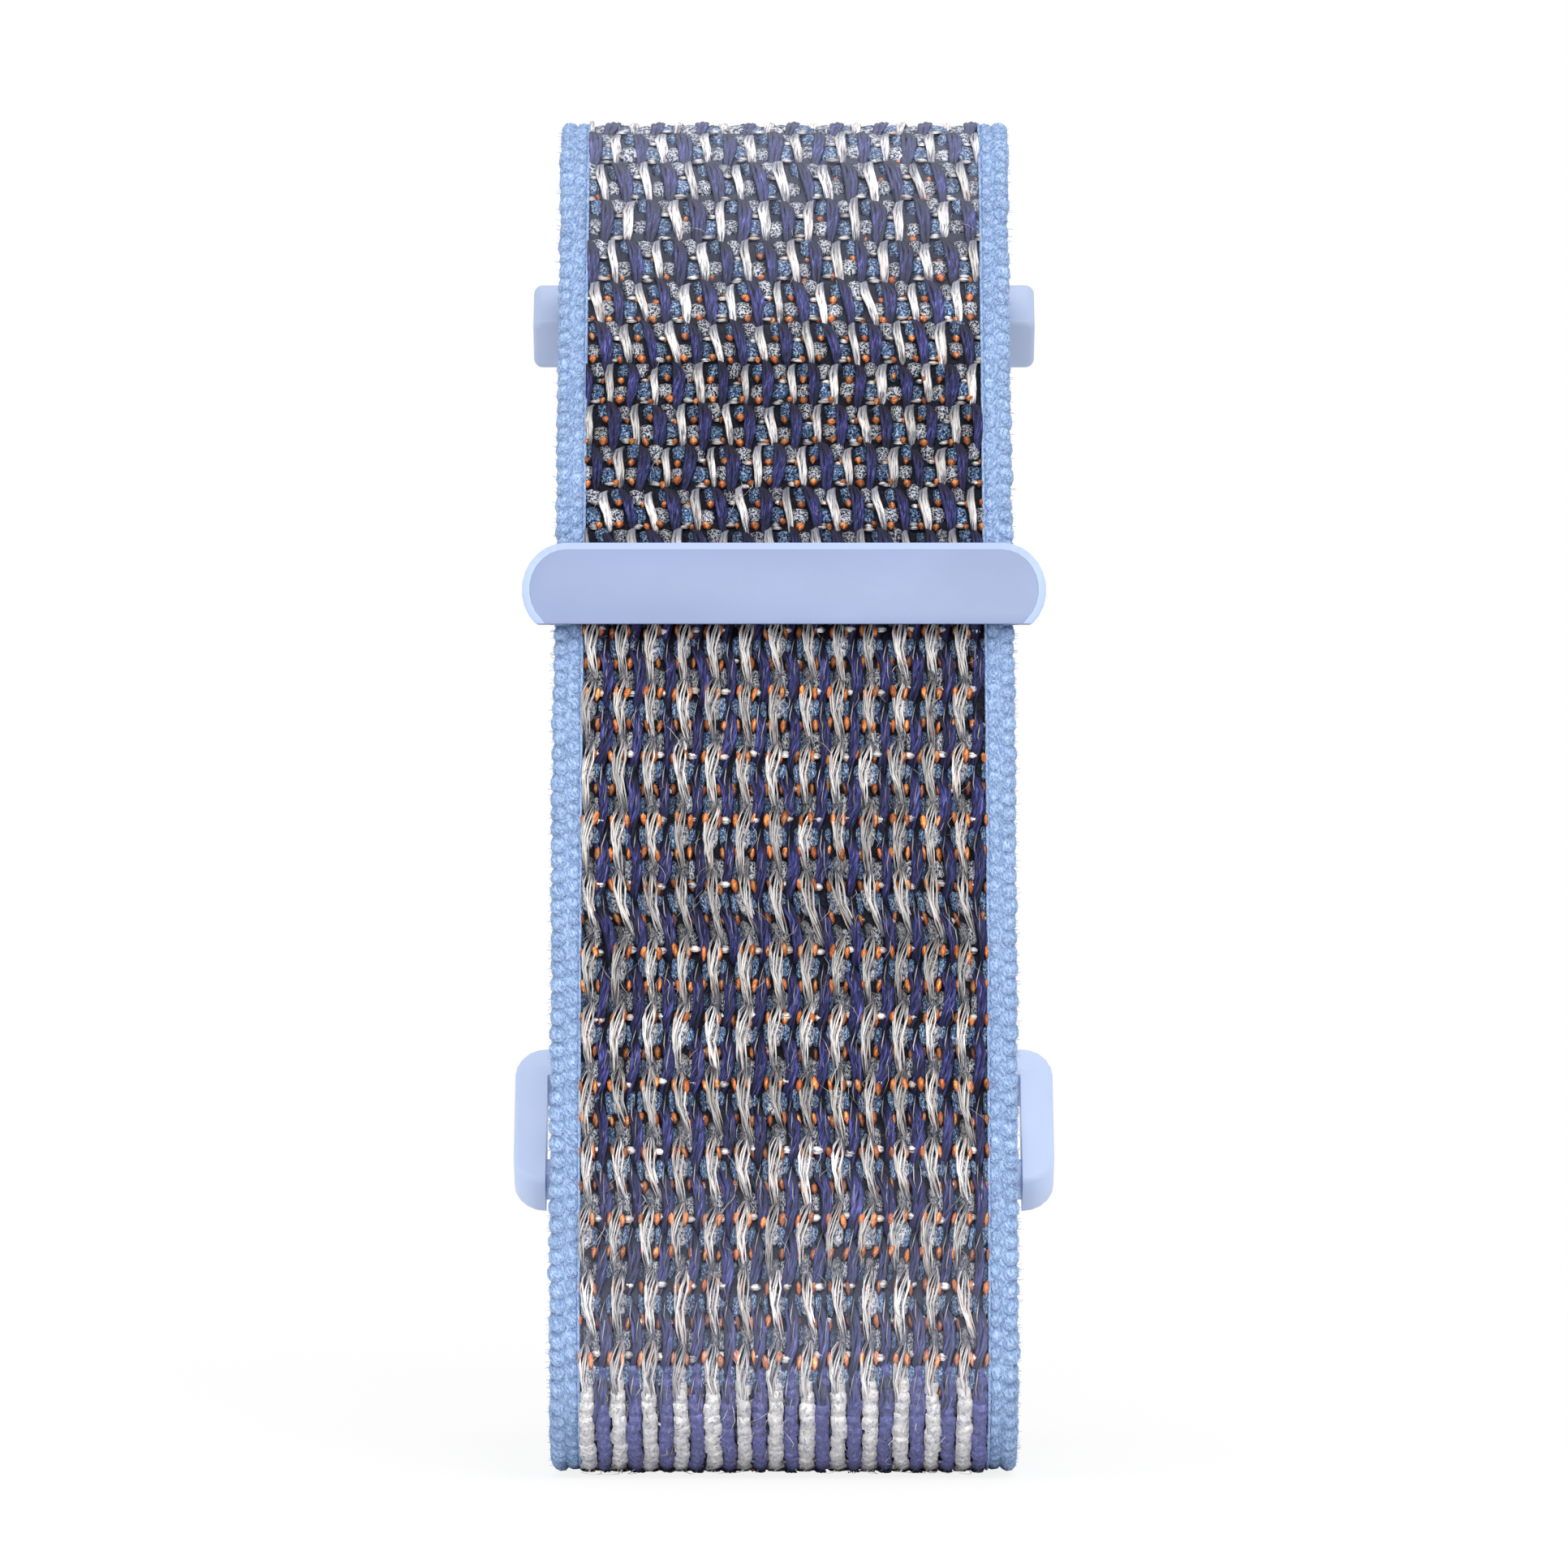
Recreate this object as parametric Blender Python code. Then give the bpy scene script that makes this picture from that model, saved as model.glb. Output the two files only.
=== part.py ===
"""Hook and loop watch strap: one woven strip that runs from a pinned adapter, down the front of the
wrist loop, round a ring adapter's bar and back up to an end tab that holds it with a hook patch.

Metres, +Z up, X across the strap, the tab's side towards -Y and the watch's side towards +Y.
"""

import math

import bmesh
import bpy
import numpy as np
from mathutils import Matrix, Vector

# The woven strip
STRAP_WIDTH = 0.025
STRAP_THICKNESS = 0.0018
EDGE_WIDTH = 0.0016
EDGE_GAP = 0.0001
EDGE_ROUND = 0.0005
SEGMENT_GAP = 0.0003
STATION_STEP = 0.0012
ROUTE_STEPS = 60

# The closed loop, seen from its side
LOOP_HEIGHT = 0.0742
FLAP_END_HEIGHT = 0.0474
BAR_DEPTH = 0.047
UPPER_BAR_HEIGHT = 0.059
LOWER_BAR_HEIGHT = 0.025
UPPER_LENGTH = 0.0354
UPPER_SEGMENTS = 3
FLAP_SEGMENT_LENGTH = 0.0102
FLAP_SEGMENTS = 4
FOLD_TAPER = 0.013
END_STEP = 0.005

# Points that steer the base layer's mid line between its two straight ends, as shares of the depth
# and height that it spans
ROUTE_SHARES = (
    (0.727, 0.966),
    (0.623, 1.021),
    (0.512, 0.961),
    (0.445, 0.873),
    (0.377, 0.790),
    (0.304, 0.705),
    (0.242, 0.618),
    (0.184, 0.530),
    (0.133, 0.440),
    (0.094, 0.350),
    (0.064, 0.260),
    (0.038, 0.175),
    (0.010, 0.095),
    (0.000, 0.030),
    (0.070, 0.000),
    (0.170, 0.000),
    (0.270, 0.000),
    (0.365, 0.000),
    (0.455, 0.000),
    (0.538, 0.006),
)

# The hook patch on the inner side of the flap
PATCH_THICKNESS = 0.0005
PATCH_GAP = 0.0001
PATCH_CLEARANCE = 0.0002
PATCH_INSET = 0.0012

# The sewn end at the strap pin
SLEEVE_WALL = 0.0006
TURN_BACK_THICKNESS = 0.0008
TURN_BACK_START = 0.0024
TURN_BACK_END = 0.0095

# The end tab
TAB_SIDE = 0.00165
TAB_END_REACH = 0.00236
TAB_END_RISE = 0.00275
TAB_CUT_DROP = 0.00205
TAB_FRONT_WALL = 0.0012
TAB_BACK_WALL = 0.0004
TAB_TOP_WALL = 0.0009
TAB_CHAMFER = 0.0004
TAB_END_STEPS = 10
TAB_STRAP_GAP = 0.0001

# Shared by both adapters
LUG_GAP = 0.02
LUG_CLEARANCE = 0.0002
ADAPTER_FILLET = 0.0003
TONGUE_RELIEF = 0.0001
CORNER_STEPS = 5

# The fixed adapter, a fork that carries the strap pin
FIXED_LEAN = math.radians(135)
FIXED_WALL = 0.0008
FIXED_CHEEK = 0.0017
FIXED_CORNER = 0.0005
FIXED_TONGUE_REACH = 0.0044
FORK_SIDE_GAP = 0.00015
FORK_FLOOR = 0.0011
FORK_FLOOR_GAP = 0.0001
FORK_END_GAP = 0.0001
PIN_RADIUS = 0.0005
PIN_RUNNING_GAP = 0.00005
PIN_SEAT_DEPTH = 0.0011

# The ring adapter, a frame with a slot and a round bar that the strap folds over
RING_LEAN = math.radians(231.5)
RING_WALL = 0.00065
RING_CHEEK = 0.00185
RING_CORNER = 0.0018
RING_TONGUE_REACH = 0.0051
RING_SIDE_GAP = 0.00105
RING_FLOOR = 0.00195
RING_SLOT_ROOM = 0.00295
RING_FOLD_GAP = 0.0003
RING_BAR_RADIUS = 0.00125
RING_BAR_SEAT = 0.0006

# The quick release bars
BARREL_INSET = 0.0003
BARREL_RADIUS = 0.00075
BARREL_WALL = 0.0002
BARREL_SHOULDER = 0.0004
BAR_RUNNING_GAP = 0.00005
TIP_RADIUS = 0.0004
TIP_REACH = 0.0011
TIP_CHAMFER = 0.00015
PLUG_LENGTH = 0.0018
PLUNGER_LENGTH = 0.005
RELEASE_TRAVEL = 0.0012
KNOB_INSET = 0.0039
STEM_RADIUS = 0.00025
STEM_SEAT = 0.0003
KNOB_RADIUS = 0.00045
KNOB_HEIGHT = 0.001
KNOB_LIFT = 0.0001
SPRING_SIDE_GAP = 0.00011
SPRING_WIRE_RADIUS = 0.00008
SPRING_TURNS = 14
SPRING_TURN_STEPS = 9
SPRING_END_GAP = 0.0001
ROUND_SIDES = 24

OVERRUN = 0.001
SHARP_ANGLE = math.radians(30)

STRAP_HALF = STRAP_THICKNESS / 2
PANEL_HALF = STRAP_WIDTH / 2 - EDGE_WIDTH - EDGE_GAP
LAYER_GAP = PATCH_GAP + PATCH_THICKNESS + PATCH_CLEARANCE
LAYER_SPACING = STRAP_THICKNESS + LAYER_GAP
ROUTE_MARGIN = LAYER_SPACING + STRAP_HALF
FOLD_RADIUS = RING_BAR_RADIUS + RING_FOLD_GAP + STRAP_HALF
SLEEVE_RADIUS = PIN_RADIUS + PIN_RUNNING_GAP + SLEEVE_WALL
BORE_RADIUS = BARREL_RADIUS + BAR_RUNNING_GAP
BARREL_BORE_RADIUS = BARREL_RADIUS - BARREL_WALL
SLOT_HALF = STEM_RADIUS + BAR_RUNNING_GAP
TONGUE_WIDTH = LUG_GAP - 2 * LUG_CLEARANCE
BARREL_LENGTH = TONGUE_WIDTH - 2 * BARREL_INSET
SPRING_RADIUS = BARREL_BORE_RADIUS - SPRING_SIDE_GAP - SPRING_WIRE_RADIUS
FORK_HALF = STRAP_WIDTH / 2 + FORK_SIDE_GAP
FIXED_WIDTH = 2 * (FORK_HALF + FIXED_CHEEK)
FIXED_THICKNESS = 2 * (BORE_RADIUS + FIXED_WALL + TONGUE_RELIEF)
FIXED_SHOULDER_TO_PIN = SLEEVE_RADIUS + FORK_FLOOR_GAP + FORK_FLOOR
FIXED_PIN_TO_BAR = FIXED_SHOULDER_TO_PIN + FIXED_TONGUE_REACH
FIXED_PIN_TO_END = SLEEVE_RADIUS + FORK_END_GAP
RING_SLOT_HALF = STRAP_WIDTH / 2 + RING_SIDE_GAP
RING_SLOT_LENGTH = RING_FOLD_GAP + STRAP_THICKNESS + RING_SLOT_ROOM
RING_WIDTH = 2 * (RING_SLOT_HALF + RING_CHEEK)
RING_THICKNESS = 2 * (BORE_RADIUS + RING_WALL + TONGUE_RELIEF)
RING_SHOULDER_TO_BAR = RING_BAR_RADIUS + RING_SLOT_LENGTH + RING_FLOOR
RING_BAR_TO_BAR = RING_SHOULDER_TO_BAR + RING_TONGUE_REACH
TAB_WIDTH = STRAP_WIDTH + 2 * TAB_SIDE

WOVEN = ("woven_nylon", (0.33, 0.34, 0.52), 0.9, 0.0)
EDGING = ("edge_yarn", (0.36, 0.52, 0.84), 0.85, 0.0)
HOOKS = ("hook_tape", (0.42, 0.45, 0.62), 0.7, 0.0)
PLASTIC = ("coated_plastic", (0.48, 0.54, 0.80), 0.4, 0.0)
STEEL = ("steel", (0.62, 0.62, 0.64), 0.3, 1.0)


def clear_scene():
    for old in list(bpy.data.objects):
        bpy.data.objects.remove(old, do_unlink=True)


def material(look):
    """One Principled material for each kind of stuff, shared by the pieces made of it."""
    name, colour, roughness, metallic = look
    made = bpy.data.materials.get(name)
    if made is None:
        made = bpy.data.materials.new(name)
        made.use_nodes = True
        shader = made.node_tree.nodes["Principled BSDF"]
        shader.inputs["Base Color"].default_value = (*colour, 1.0)
        shader.inputs["Roughness"].default_value = roughness
        shader.inputs["Metallic"].default_value = metallic
    return made


def empty(name, parent, world):
    """An empty whose world matrix is given, under another one."""
    made = bpy.data.objects.new(name, None)
    bpy.context.collection.objects.link(made)
    made.parent = parent
    made.matrix_basis = world if parent is None else world_of(parent).inverted() @ world
    return made


def world_of(item):
    matrix = item.matrix_basis.copy()
    while item.parent is not None:
        item = item.parent
        matrix = item.matrix_basis @ matrix
    return matrix


def finish_mesh(bm, name):
    bmesh.ops.recalc_face_normals(bm, faces=bm.faces)
    mesh = bpy.data.meshes.new(name)
    bm.to_mesh(mesh)
    bm.free()
    mesh.shade_smooth()
    mesh.set_sharp_from_angle(angle=SHARP_ANGLE)
    return mesh


def add_piece(name, mesh, carrier, look):
    """An object in its carrier's own axes."""
    piece = bpy.data.objects.new(name, mesh)
    bpy.context.collection.objects.link(piece)
    piece.parent = carrier
    piece.data.materials.append(material(look))
    return piece


def combine(piece, operation, mesh):
    """Cuts or joins a helper shape, given in the piece's own axes."""
    helper = bpy.data.objects.new(f"{piece.name}_{operation.lower()}", mesh)
    bpy.context.collection.objects.link(helper)
    helper.parent = piece
    helper.hide_render = True
    helper.display_type = "WIRE"
    boolean = piece.modifiers.new(helper.name, "BOOLEAN")
    boolean.operation = operation
    boolean.object = helper
    boolean.solver = "EXACT"


def box_mesh(low, high):
    bm = bmesh.new()
    bmesh.ops.create_cube(bm, size=1.0)
    size = Vector(high) - Vector(low)
    centre = (Vector(high) + Vector(low)) / 2
    bmesh.ops.scale(bm, vec=size, verts=bm.verts)
    bmesh.ops.translate(bm, vec=centre, verts=bm.verts)
    return finish_mesh(bm, "box")


def turned_mesh(profile):
    """A solid turned about the X axis. The profile lists (x, radius), and a radius of 0 is a pole."""
    bm = bmesh.new()
    rings = []
    for x, radius in profile:
        if radius == 0:
            rings.append([bm.verts.new((x, 0, 0))])
            continue
        turns = [2 * math.pi * k / ROUND_SIDES for k in range(ROUND_SIDES)]
        rings.append([bm.verts.new((x, radius * math.cos(t), radius * math.sin(t))) for t in turns])
    pairs = list(zip(rings, rings[1:]))
    if profile[0][1] > 0:
        pairs.append((rings[-1], rings[0]))
    for first, second in pairs:
        join_rings(bm, first, second, ROUND_SIDES)
    return finish_mesh(bm, "turned")


def join_rings(bm, first, second, sides):
    for k in range(sides):
        after = (k + 1) % sides
        corners = [first[k % len(first)], first[after % len(first)]]
        corners += [second[after % len(second)], second[k % len(second)]]
        bm.faces.new(list(dict.fromkeys(corners)))


def rod_mesh(low, high, radius):
    """A round bar along X."""
    return turned_mesh([(low, 0), (low, radius), (high, radius), (high, 0)])


def upright_rod_mesh(x, radius_runs):
    """A round bar along Z at the given x. The runs list (low, high, radius), stacked upwards."""
    profile = [(radius_runs[0][0], 0)]
    for low, high, radius in radius_runs:
        profile += [(low, radius), (high, radius)]
    profile.append((radius_runs[-1][1], 0))
    mesh = turned_mesh(profile)
    mesh.transform(Matrix.Translation((x, 0, 0)) @ Matrix.Rotation(-math.pi / 2, 4, "Y"))
    return mesh


def plate_mesh(outline, low, high, fillet):
    """An outline in X and Y, made into a plate between two heights, with its rims rounded."""
    bm = bmesh.new()
    base = bm.faces.new([bm.verts.new((x, y, low)) for x, y in outline])
    raised = bmesh.ops.extrude_face_region(bm, geom=[base])["geom"]
    top = [v for v in raised if isinstance(v, bmesh.types.BMVert)]
    bmesh.ops.translate(bm, vec=(0, 0, high - low), verts=top)
    rims = [e for e in bm.edges if e.verts[0].co.z == e.verts[1].co.z]
    bmesh.ops.bevel(bm, geom=rims, offset=fillet, segments=2, profile=0.5, affect="EDGES")
    return finish_mesh(bm, "plate")


def rounded_box_outline(half_width, low, high, corner):
    """A rectangle in X and Y with round corners, anticlockwise."""
    centres = ((1, 1, 0), (-1, 1, 1), (-1, -1, 2), (1, -1, 3))
    outline = []
    for side, end, quarter in centres:
        x = side * (half_width - corner)
        y = high - corner if end > 0 else low + corner
        for k in range(CORNER_STEPS + 1):
            turn = math.pi / 2 * (quarter + k / CORNER_STEPS)
            outline.append((x + corner * math.cos(turn), y + corner * math.sin(turn)))
    return outline


class StrapRoute:
    """The strap's mid line in the Y-Z plane, by its length from the strap pin. Its normal points
    away from the wrist on the base layer, so it points towards the wrist on the flap."""

    def __init__(self, points):
        self.points = np.array(points)
        steps = np.linalg.norm(np.diff(self.points, axis=0), axis=1)
        self.lengths = np.concatenate(([0.0], np.cumsum(steps)))
        ways = np.gradient(self.points, self.lengths, axis=0)
        self.ways = ways / np.linalg.norm(ways, axis=1)[:, None]

    def frame(self, length):
        point = np.array([np.interp(length, self.lengths, self.points[:, k]) for k in (0, 1)])
        way = np.array([np.interp(length, self.lengths, self.ways[:, k]) for k in (0, 1)])
        way = way / np.linalg.norm(way)
        return point, way, np.array([way[1], -way[0]])

    def offset(self, length, height):
        """The world place at a height above the mid line, in the middle of the strap."""
        point, _, normal = self.frame(length)
        y, z = point + normal * height
        return Vector((0, y, z))


def lean_axes(lean):
    """The direction of an adapter from its spring bar to the strap, in Y and Z."""
    return np.array([math.cos(lean), math.sin(lean)])


def strap_pin_place():
    return np.array([BAR_DEPTH, UPPER_BAR_HEIGHT]) + lean_axes(FIXED_LEAN) * FIXED_PIN_TO_BAR


def ring_bar_place():
    return np.array([BAR_DEPTH, LOWER_BAR_HEIGHT]) + lean_axes(RING_LEAN) * RING_BAR_TO_BAR


def ring_wrist_side():
    along = lean_axes(RING_LEAN)
    return np.array([along[1], -along[0]])


def base_controls():
    """Straight at both ends, where the adapters pull the strap, and steered by the shares between."""
    pin = strap_pin_place()
    out = lean_axes(FIXED_LEAN) * END_STEP
    touch = ring_bar_place() + ring_wrist_side() * FOLD_RADIUS
    back = lean_axes(RING_LEAN) * END_STEP
    spans = np.array([BAR_DEPTH - ROUTE_MARGIN, LOOP_HEIGHT - STRAP_HALF - ROUTE_MARGIN])
    steered = [np.array(share) * spans + ROUTE_MARGIN for share in ROUTE_SHARES]
    return [pin - out, pin, pin + out, *steered, touch + back * 2, touch + back, touch, touch - back]


def spline(controls):
    """A uniform cubic B-spline, which starts at the second point where the first three are in line."""
    points = []
    for k in range(len(controls) - 3):
        a, b, c, d = controls[k : k + 4]
        for step in range(ROUTE_STEPS):
            t = step / ROUTE_STEPS
            weights = ((1 - t) ** 3, 3 * t**3 - 6 * t**2 + 4, -3 * t**3 + 3 * t**2 + 3 * t + 1, t**3)
            points.append(sum(w * p for w, p in zip(weights, (a, b, c, d))) / 6)
    points.append((controls[-3] + 4 * controls[-2] + controls[-1]) / 6)
    return points


def fold_points():
    """Half a turn over the ring's bar, from the wrist side to the outer side."""
    centre = ring_bar_place()
    inner = ring_wrist_side()
    along = lean_axes(RING_LEAN)
    turns = [math.pi * k / ROUTE_STEPS for k in range(1, ROUTE_STEPS)]
    return [centre + (inner * math.cos(t) - along * math.sin(t)) * FOLD_RADIUS for t in turns]


def flap_points(base):
    """The way back outside the base layer, closing up to it below the ring."""
    end = base.lengths[-1]
    points = []
    for length in reversed(base.lengths):
        point, _, normal = base.frame(length)
        if point[1] > FLAP_END_HEIGHT and point[0] < BAR_DEPTH / 2:
            break
        near = min(max((length - end + FOLD_TAPER) / FOLD_TAPER, 0), 1)
        ease = near * near * (3 - 2 * near)
        spacing = LAYER_SPACING + (2 * FOLD_RADIUS - LAYER_SPACING) * ease
        points.append(point + normal * spacing)
    return points


def strap_route():
    base = StrapRoute(spline(base_controls()))
    return StrapRoute([*base.points, *fold_points(), *flap_points(base)])


def swept_mesh(route, start, end, section):
    """A section in width and height, carried along the route from one length to another."""
    bm = bmesh.new()
    count = max(2, math.ceil((end - start) / STATION_STEP) + 1)
    rings = []
    for length in np.linspace(start, end, count):
        point, _, normal = route.frame(length)
        places = [(x, *(point + normal * height)) for x, height in section]
        rings.append([bm.verts.new(place) for place in places])
    for first, second in zip(rings, rings[1:]):
        join_rings(bm, first, second, len(section))
    bm.faces.new(list(reversed(rings[0])))
    bm.faces.new(rings[-1])
    return finish_mesh(bm, "swept")


def band_section(half_width, low, high):
    return [(-half_width, low), (half_width, low), (half_width, high), (-half_width, high)]


def edge_section(side):
    """The knitted edge: as thick as the webbing, with its four long corners cut."""
    inner = side * (STRAP_WIDTH / 2 - EDGE_WIDTH)
    outer = side * STRAP_WIDTH / 2
    cut = side * EDGE_ROUND
    low = STRAP_HALF - EDGE_ROUND
    section = [(inner + cut, -STRAP_HALF), (outer - cut, -STRAP_HALF), (outer, -low), (outer, low)]
    return section + [(outer - cut, STRAP_HALF), (inner + cut, STRAP_HALF), (inner, low), (inner, -low)]


def in_axes_of(mesh, carrier):
    mesh.transform(world_of(carrier).inverted())
    return mesh


def add_strap_run(route, start, end, carrier, prefix, edge_start=None):
    """One stretch of webbing with its two knitted edges."""
    panel = swept_mesh(route, start, end, band_section(PANEL_HALF, -STRAP_HALF, STRAP_HALF))
    webbing = add_piece(f"{prefix}_webbing", in_axes_of(panel, carrier), carrier, WOVEN)
    first = start if edge_start is None else edge_start
    for side, word in ((-1, "left"), (1, "right")):
        mesh = swept_mesh(route, first, end, edge_section(side))
        add_piece(f"{prefix}_edge_{word}", in_axes_of(mesh, carrier), carrier, EDGING)
    return webbing


def add_upper(route, root):
    """The single layer above the tab, from the base to the strap pin, as segments that open out."""
    carrier = root
    segment = UPPER_LENGTH / UPPER_SEGMENTS
    for number in range(1, UPPER_SEGMENTS + 1):
        split = UPPER_LENGTH - segment * (number - 1)
        place = route.offset(split, STRAP_HALF)
        carrier = empty(f"joint_upper_{number}", carrier, Matrix.Translation(place))
        last = number == UPPER_SEGMENTS
        start = 0 if last else split - segment + SEGMENT_GAP / 2
        edge_start = SLEEVE_RADIUS + SEGMENT_GAP if last else None
        end = split - SEGMENT_GAP / 2
        webbing = add_strap_run(route, start, end, carrier, f"upper_{number}", edge_start)
    add_sewn_end(route, carrier, webbing)
    return carrier


def add_sewn_end(route, carrier, webbing):
    """The sleeve round the pin and the end turned back on the wrist side, of one piece with it."""
    y, z = strap_pin_place()
    place = Matrix.Translation((0, y, z))
    half = STRAP_WIDTH / 2
    sleeve = rod_mesh(-half, half, SLEEVE_RADIUS)
    sleeve.transform(place)
    combine(webbing, "UNION", in_axes_of(sleeve, carrier))
    depth = -STRAP_HALF - TURN_BACK_THICKNESS
    section = band_section(PANEL_HALF - PATCH_INSET, depth, 0)
    turned = swept_mesh(route, TURN_BACK_START, TURN_BACK_END, section)
    combine(webbing, "UNION", in_axes_of(turned, carrier))
    hole = rod_mesh(-half - OVERRUN, half + OVERRUN, PIN_RADIUS + PIN_RUNNING_GAP)
    hole.transform(place)
    combine(webbing, "DIFFERENCE", in_axes_of(hole, carrier))


def add_flap(route, root):
    """The part of the flap that peels off the front, as segments that open out, and its hook patch."""
    carrier = root
    end = route.lengths[-1]
    top = end - FLAP_SEGMENT_LENGTH * FLAP_SEGMENTS
    for number in range(1, FLAP_SEGMENTS + 1):
        split = top + FLAP_SEGMENT_LENGTH * (number - 1)
        place = route.offset(split, -STRAP_HALF)
        carrier = empty(f"joint_flap_{number}", carrier, Matrix.Translation(place))
        last = number == FLAP_SEGMENTS
        stop = end if last else split + FLAP_SEGMENT_LENGTH - SEGMENT_GAP / 2
        add_strap_run(route, split + SEGMENT_GAP / 2, stop, carrier, f"flap_{number}")
        if number > FLAP_SEGMENTS / 2:
            reach = end - tab_pocket_depth() - PATCH_INSET if last else stop
            add_hook_patch(route, split + SEGMENT_GAP / 2, reach, carrier, number)
    add_tab(route, carrier)
    return top


def add_hook_patch(route, start, end, carrier, number):
    low = STRAP_HALF + PATCH_GAP
    section = band_section(PANEL_HALF - PATCH_INSET, low, low + PATCH_THICKNESS)
    mesh = swept_mesh(route, start, end, section)
    add_piece(f"hook_patch_{number}", in_axes_of(mesh, carrier), carrier, HOOKS)


def tab_height():
    return TAB_CUT_DROP + TAB_END_RISE


def tab_pocket_depth():
    return tab_height() - TAB_TOP_WALL


def tab_outline():
    """A bar with round ends, cut straight along its lower side, where the strap comes out."""
    middle = TAB_WIDTH / 2 - TAB_END_REACH
    low = -math.asin(TAB_CUT_DROP / TAB_END_RISE)
    outline = []
    for k in range(TAB_END_STEPS + 1):
        turn = low + (math.pi / 2 - low) * k / TAB_END_STEPS
        x, y = TAB_END_REACH * math.cos(turn), TAB_END_RISE * math.sin(turn)
        outline.append((middle + x, TAB_CUT_DROP + y))
    return outline + [(-x, y) for x, y in reversed(outline)]


def add_tab(route, carrier):
    """The end tab. Its own Y runs up the flap and its own Z points away from the wrist. Its sides
    run level from its leaning front face, so only that face shows from the front."""
    bottom = route.lengths[-1] - tab_pocket_depth() + TAB_STRAP_GAP
    point, way, _ = route.frame((bottom + route.lengths[-1]) / 2)
    middle = (route.lengths[-1] - bottom) / 2
    y, z = point - way * middle
    lean = math.atan2(way[1], way[0])
    axes = empty("end_tab_axes", carrier, Matrix.Translation((0, y, z)) @ Matrix.Rotation(lean, 4, "X"))
    front = STRAP_HALF + TAB_STRAP_GAP + TAB_FRONT_WALL
    back = STRAP_HALF + TAB_STRAP_GAP + TAB_BACK_WALL
    mesh = chamfered_tab_mesh(-back, front)
    level = Matrix.Translation((0, front / math.tan(lean), 0))
    level[1][2] = -1 / math.tan(lean)
    mesh.transform(level)
    tab = add_piece("end_tab", mesh, axes, PLASTIC)
    half = STRAP_WIDTH / 2 + TAB_STRAP_GAP
    inside = STRAP_HALF + TAB_STRAP_GAP
    pocket = box_mesh((-half, -OVERRUN, -inside), (half, tab_pocket_depth(), inside))
    combine(tab, "DIFFERENCE", pocket)


def chamfered_tab_mesh(back, front):
    """The bar's front rim is chamfered along its top and round its ends, not along the cut."""
    bm = bmesh.new()
    base = bm.faces.new([bm.verts.new((x, y, back)) for x, y in tab_outline()])
    raised = bmesh.ops.extrude_face_region(bm, geom=[base])["geom"]
    top = [v for v in raised if isinstance(v, bmesh.types.BMVert)]
    bmesh.ops.translate(bm, vec=(0, 0, front - back), verts=top)
    face = next(f for f in bm.faces if all(v in top for v in f.verts))
    rim = [e for e in face.edges if e.verts[0].co.y > 0 or e.verts[1].co.y > 0]
    bmesh.ops.bevel(bm, geom=rim, offset=TAB_CHAMFER, segments=1, profile=0.5, affect="EDGES")
    return finish_mesh(bm, "tab")


def adapter_axes(lean, place, flipped):
    """An adapter's axes at its swivel: Y runs from its spring bar to the strap, Z to the wrist."""
    turn = Matrix.Rotation(lean, 4, "X")
    if flipped:
        turn = turn @ Matrix.Rotation(math.pi, 4, "Y")
    return Matrix.Translation((0, *place)) @ turn


def tongue_mesh(bar, end, thickness):
    """The part between the watch's lugs, round about the spring bar at y = bar."""
    radius = thickness / 2
    profile = [(end, -radius), (end, radius)]
    for k in range(CORNER_STEPS * 2 + 1):
        turn = math.pi / 2 + math.pi * k / (CORNER_STEPS * 2)
        profile.append((bar + radius * math.cos(turn), radius * math.sin(turn)))
    bm = bmesh.new()
    half = TONGUE_WIDTH / 2
    face = bm.faces.new([bm.verts.new((-half, y, z)) for y, z in profile])
    raised = bmesh.ops.extrude_face_region(bm, geom=[face])["geom"]
    moved = [v for v in raised if isinstance(v, bmesh.types.BMVert)]
    bmesh.ops.translate(bm, vec=(TONGUE_WIDTH, 0, 0), verts=moved)
    return finish_mesh(bm, "tongue")


def cut_spring_bar_seat(frame, bar, thickness):
    """The bore through the tongue and the slot that the release knob slides in."""
    half = TONGUE_WIDTH / 2 + OVERRUN
    bore = rod_mesh(-half, half, BORE_RADIUS)
    bore.transform(Matrix.Translation((0, bar, 0)))
    combine(frame, "DIFFERENCE", bore)
    low = knob_place() - RELEASE_TRAVEL - SLOT_HALF
    high = knob_place() + SLOT_HALF
    corners = ((low, bar - SLOT_HALF, 0), (high, bar + SLOT_HALF, thickness / 2 + OVERRUN))
    combine(frame, "DIFFERENCE", box_mesh(*corners))


def knob_place():
    return BARREL_LENGTH / 2 - KNOB_INSET


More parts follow.
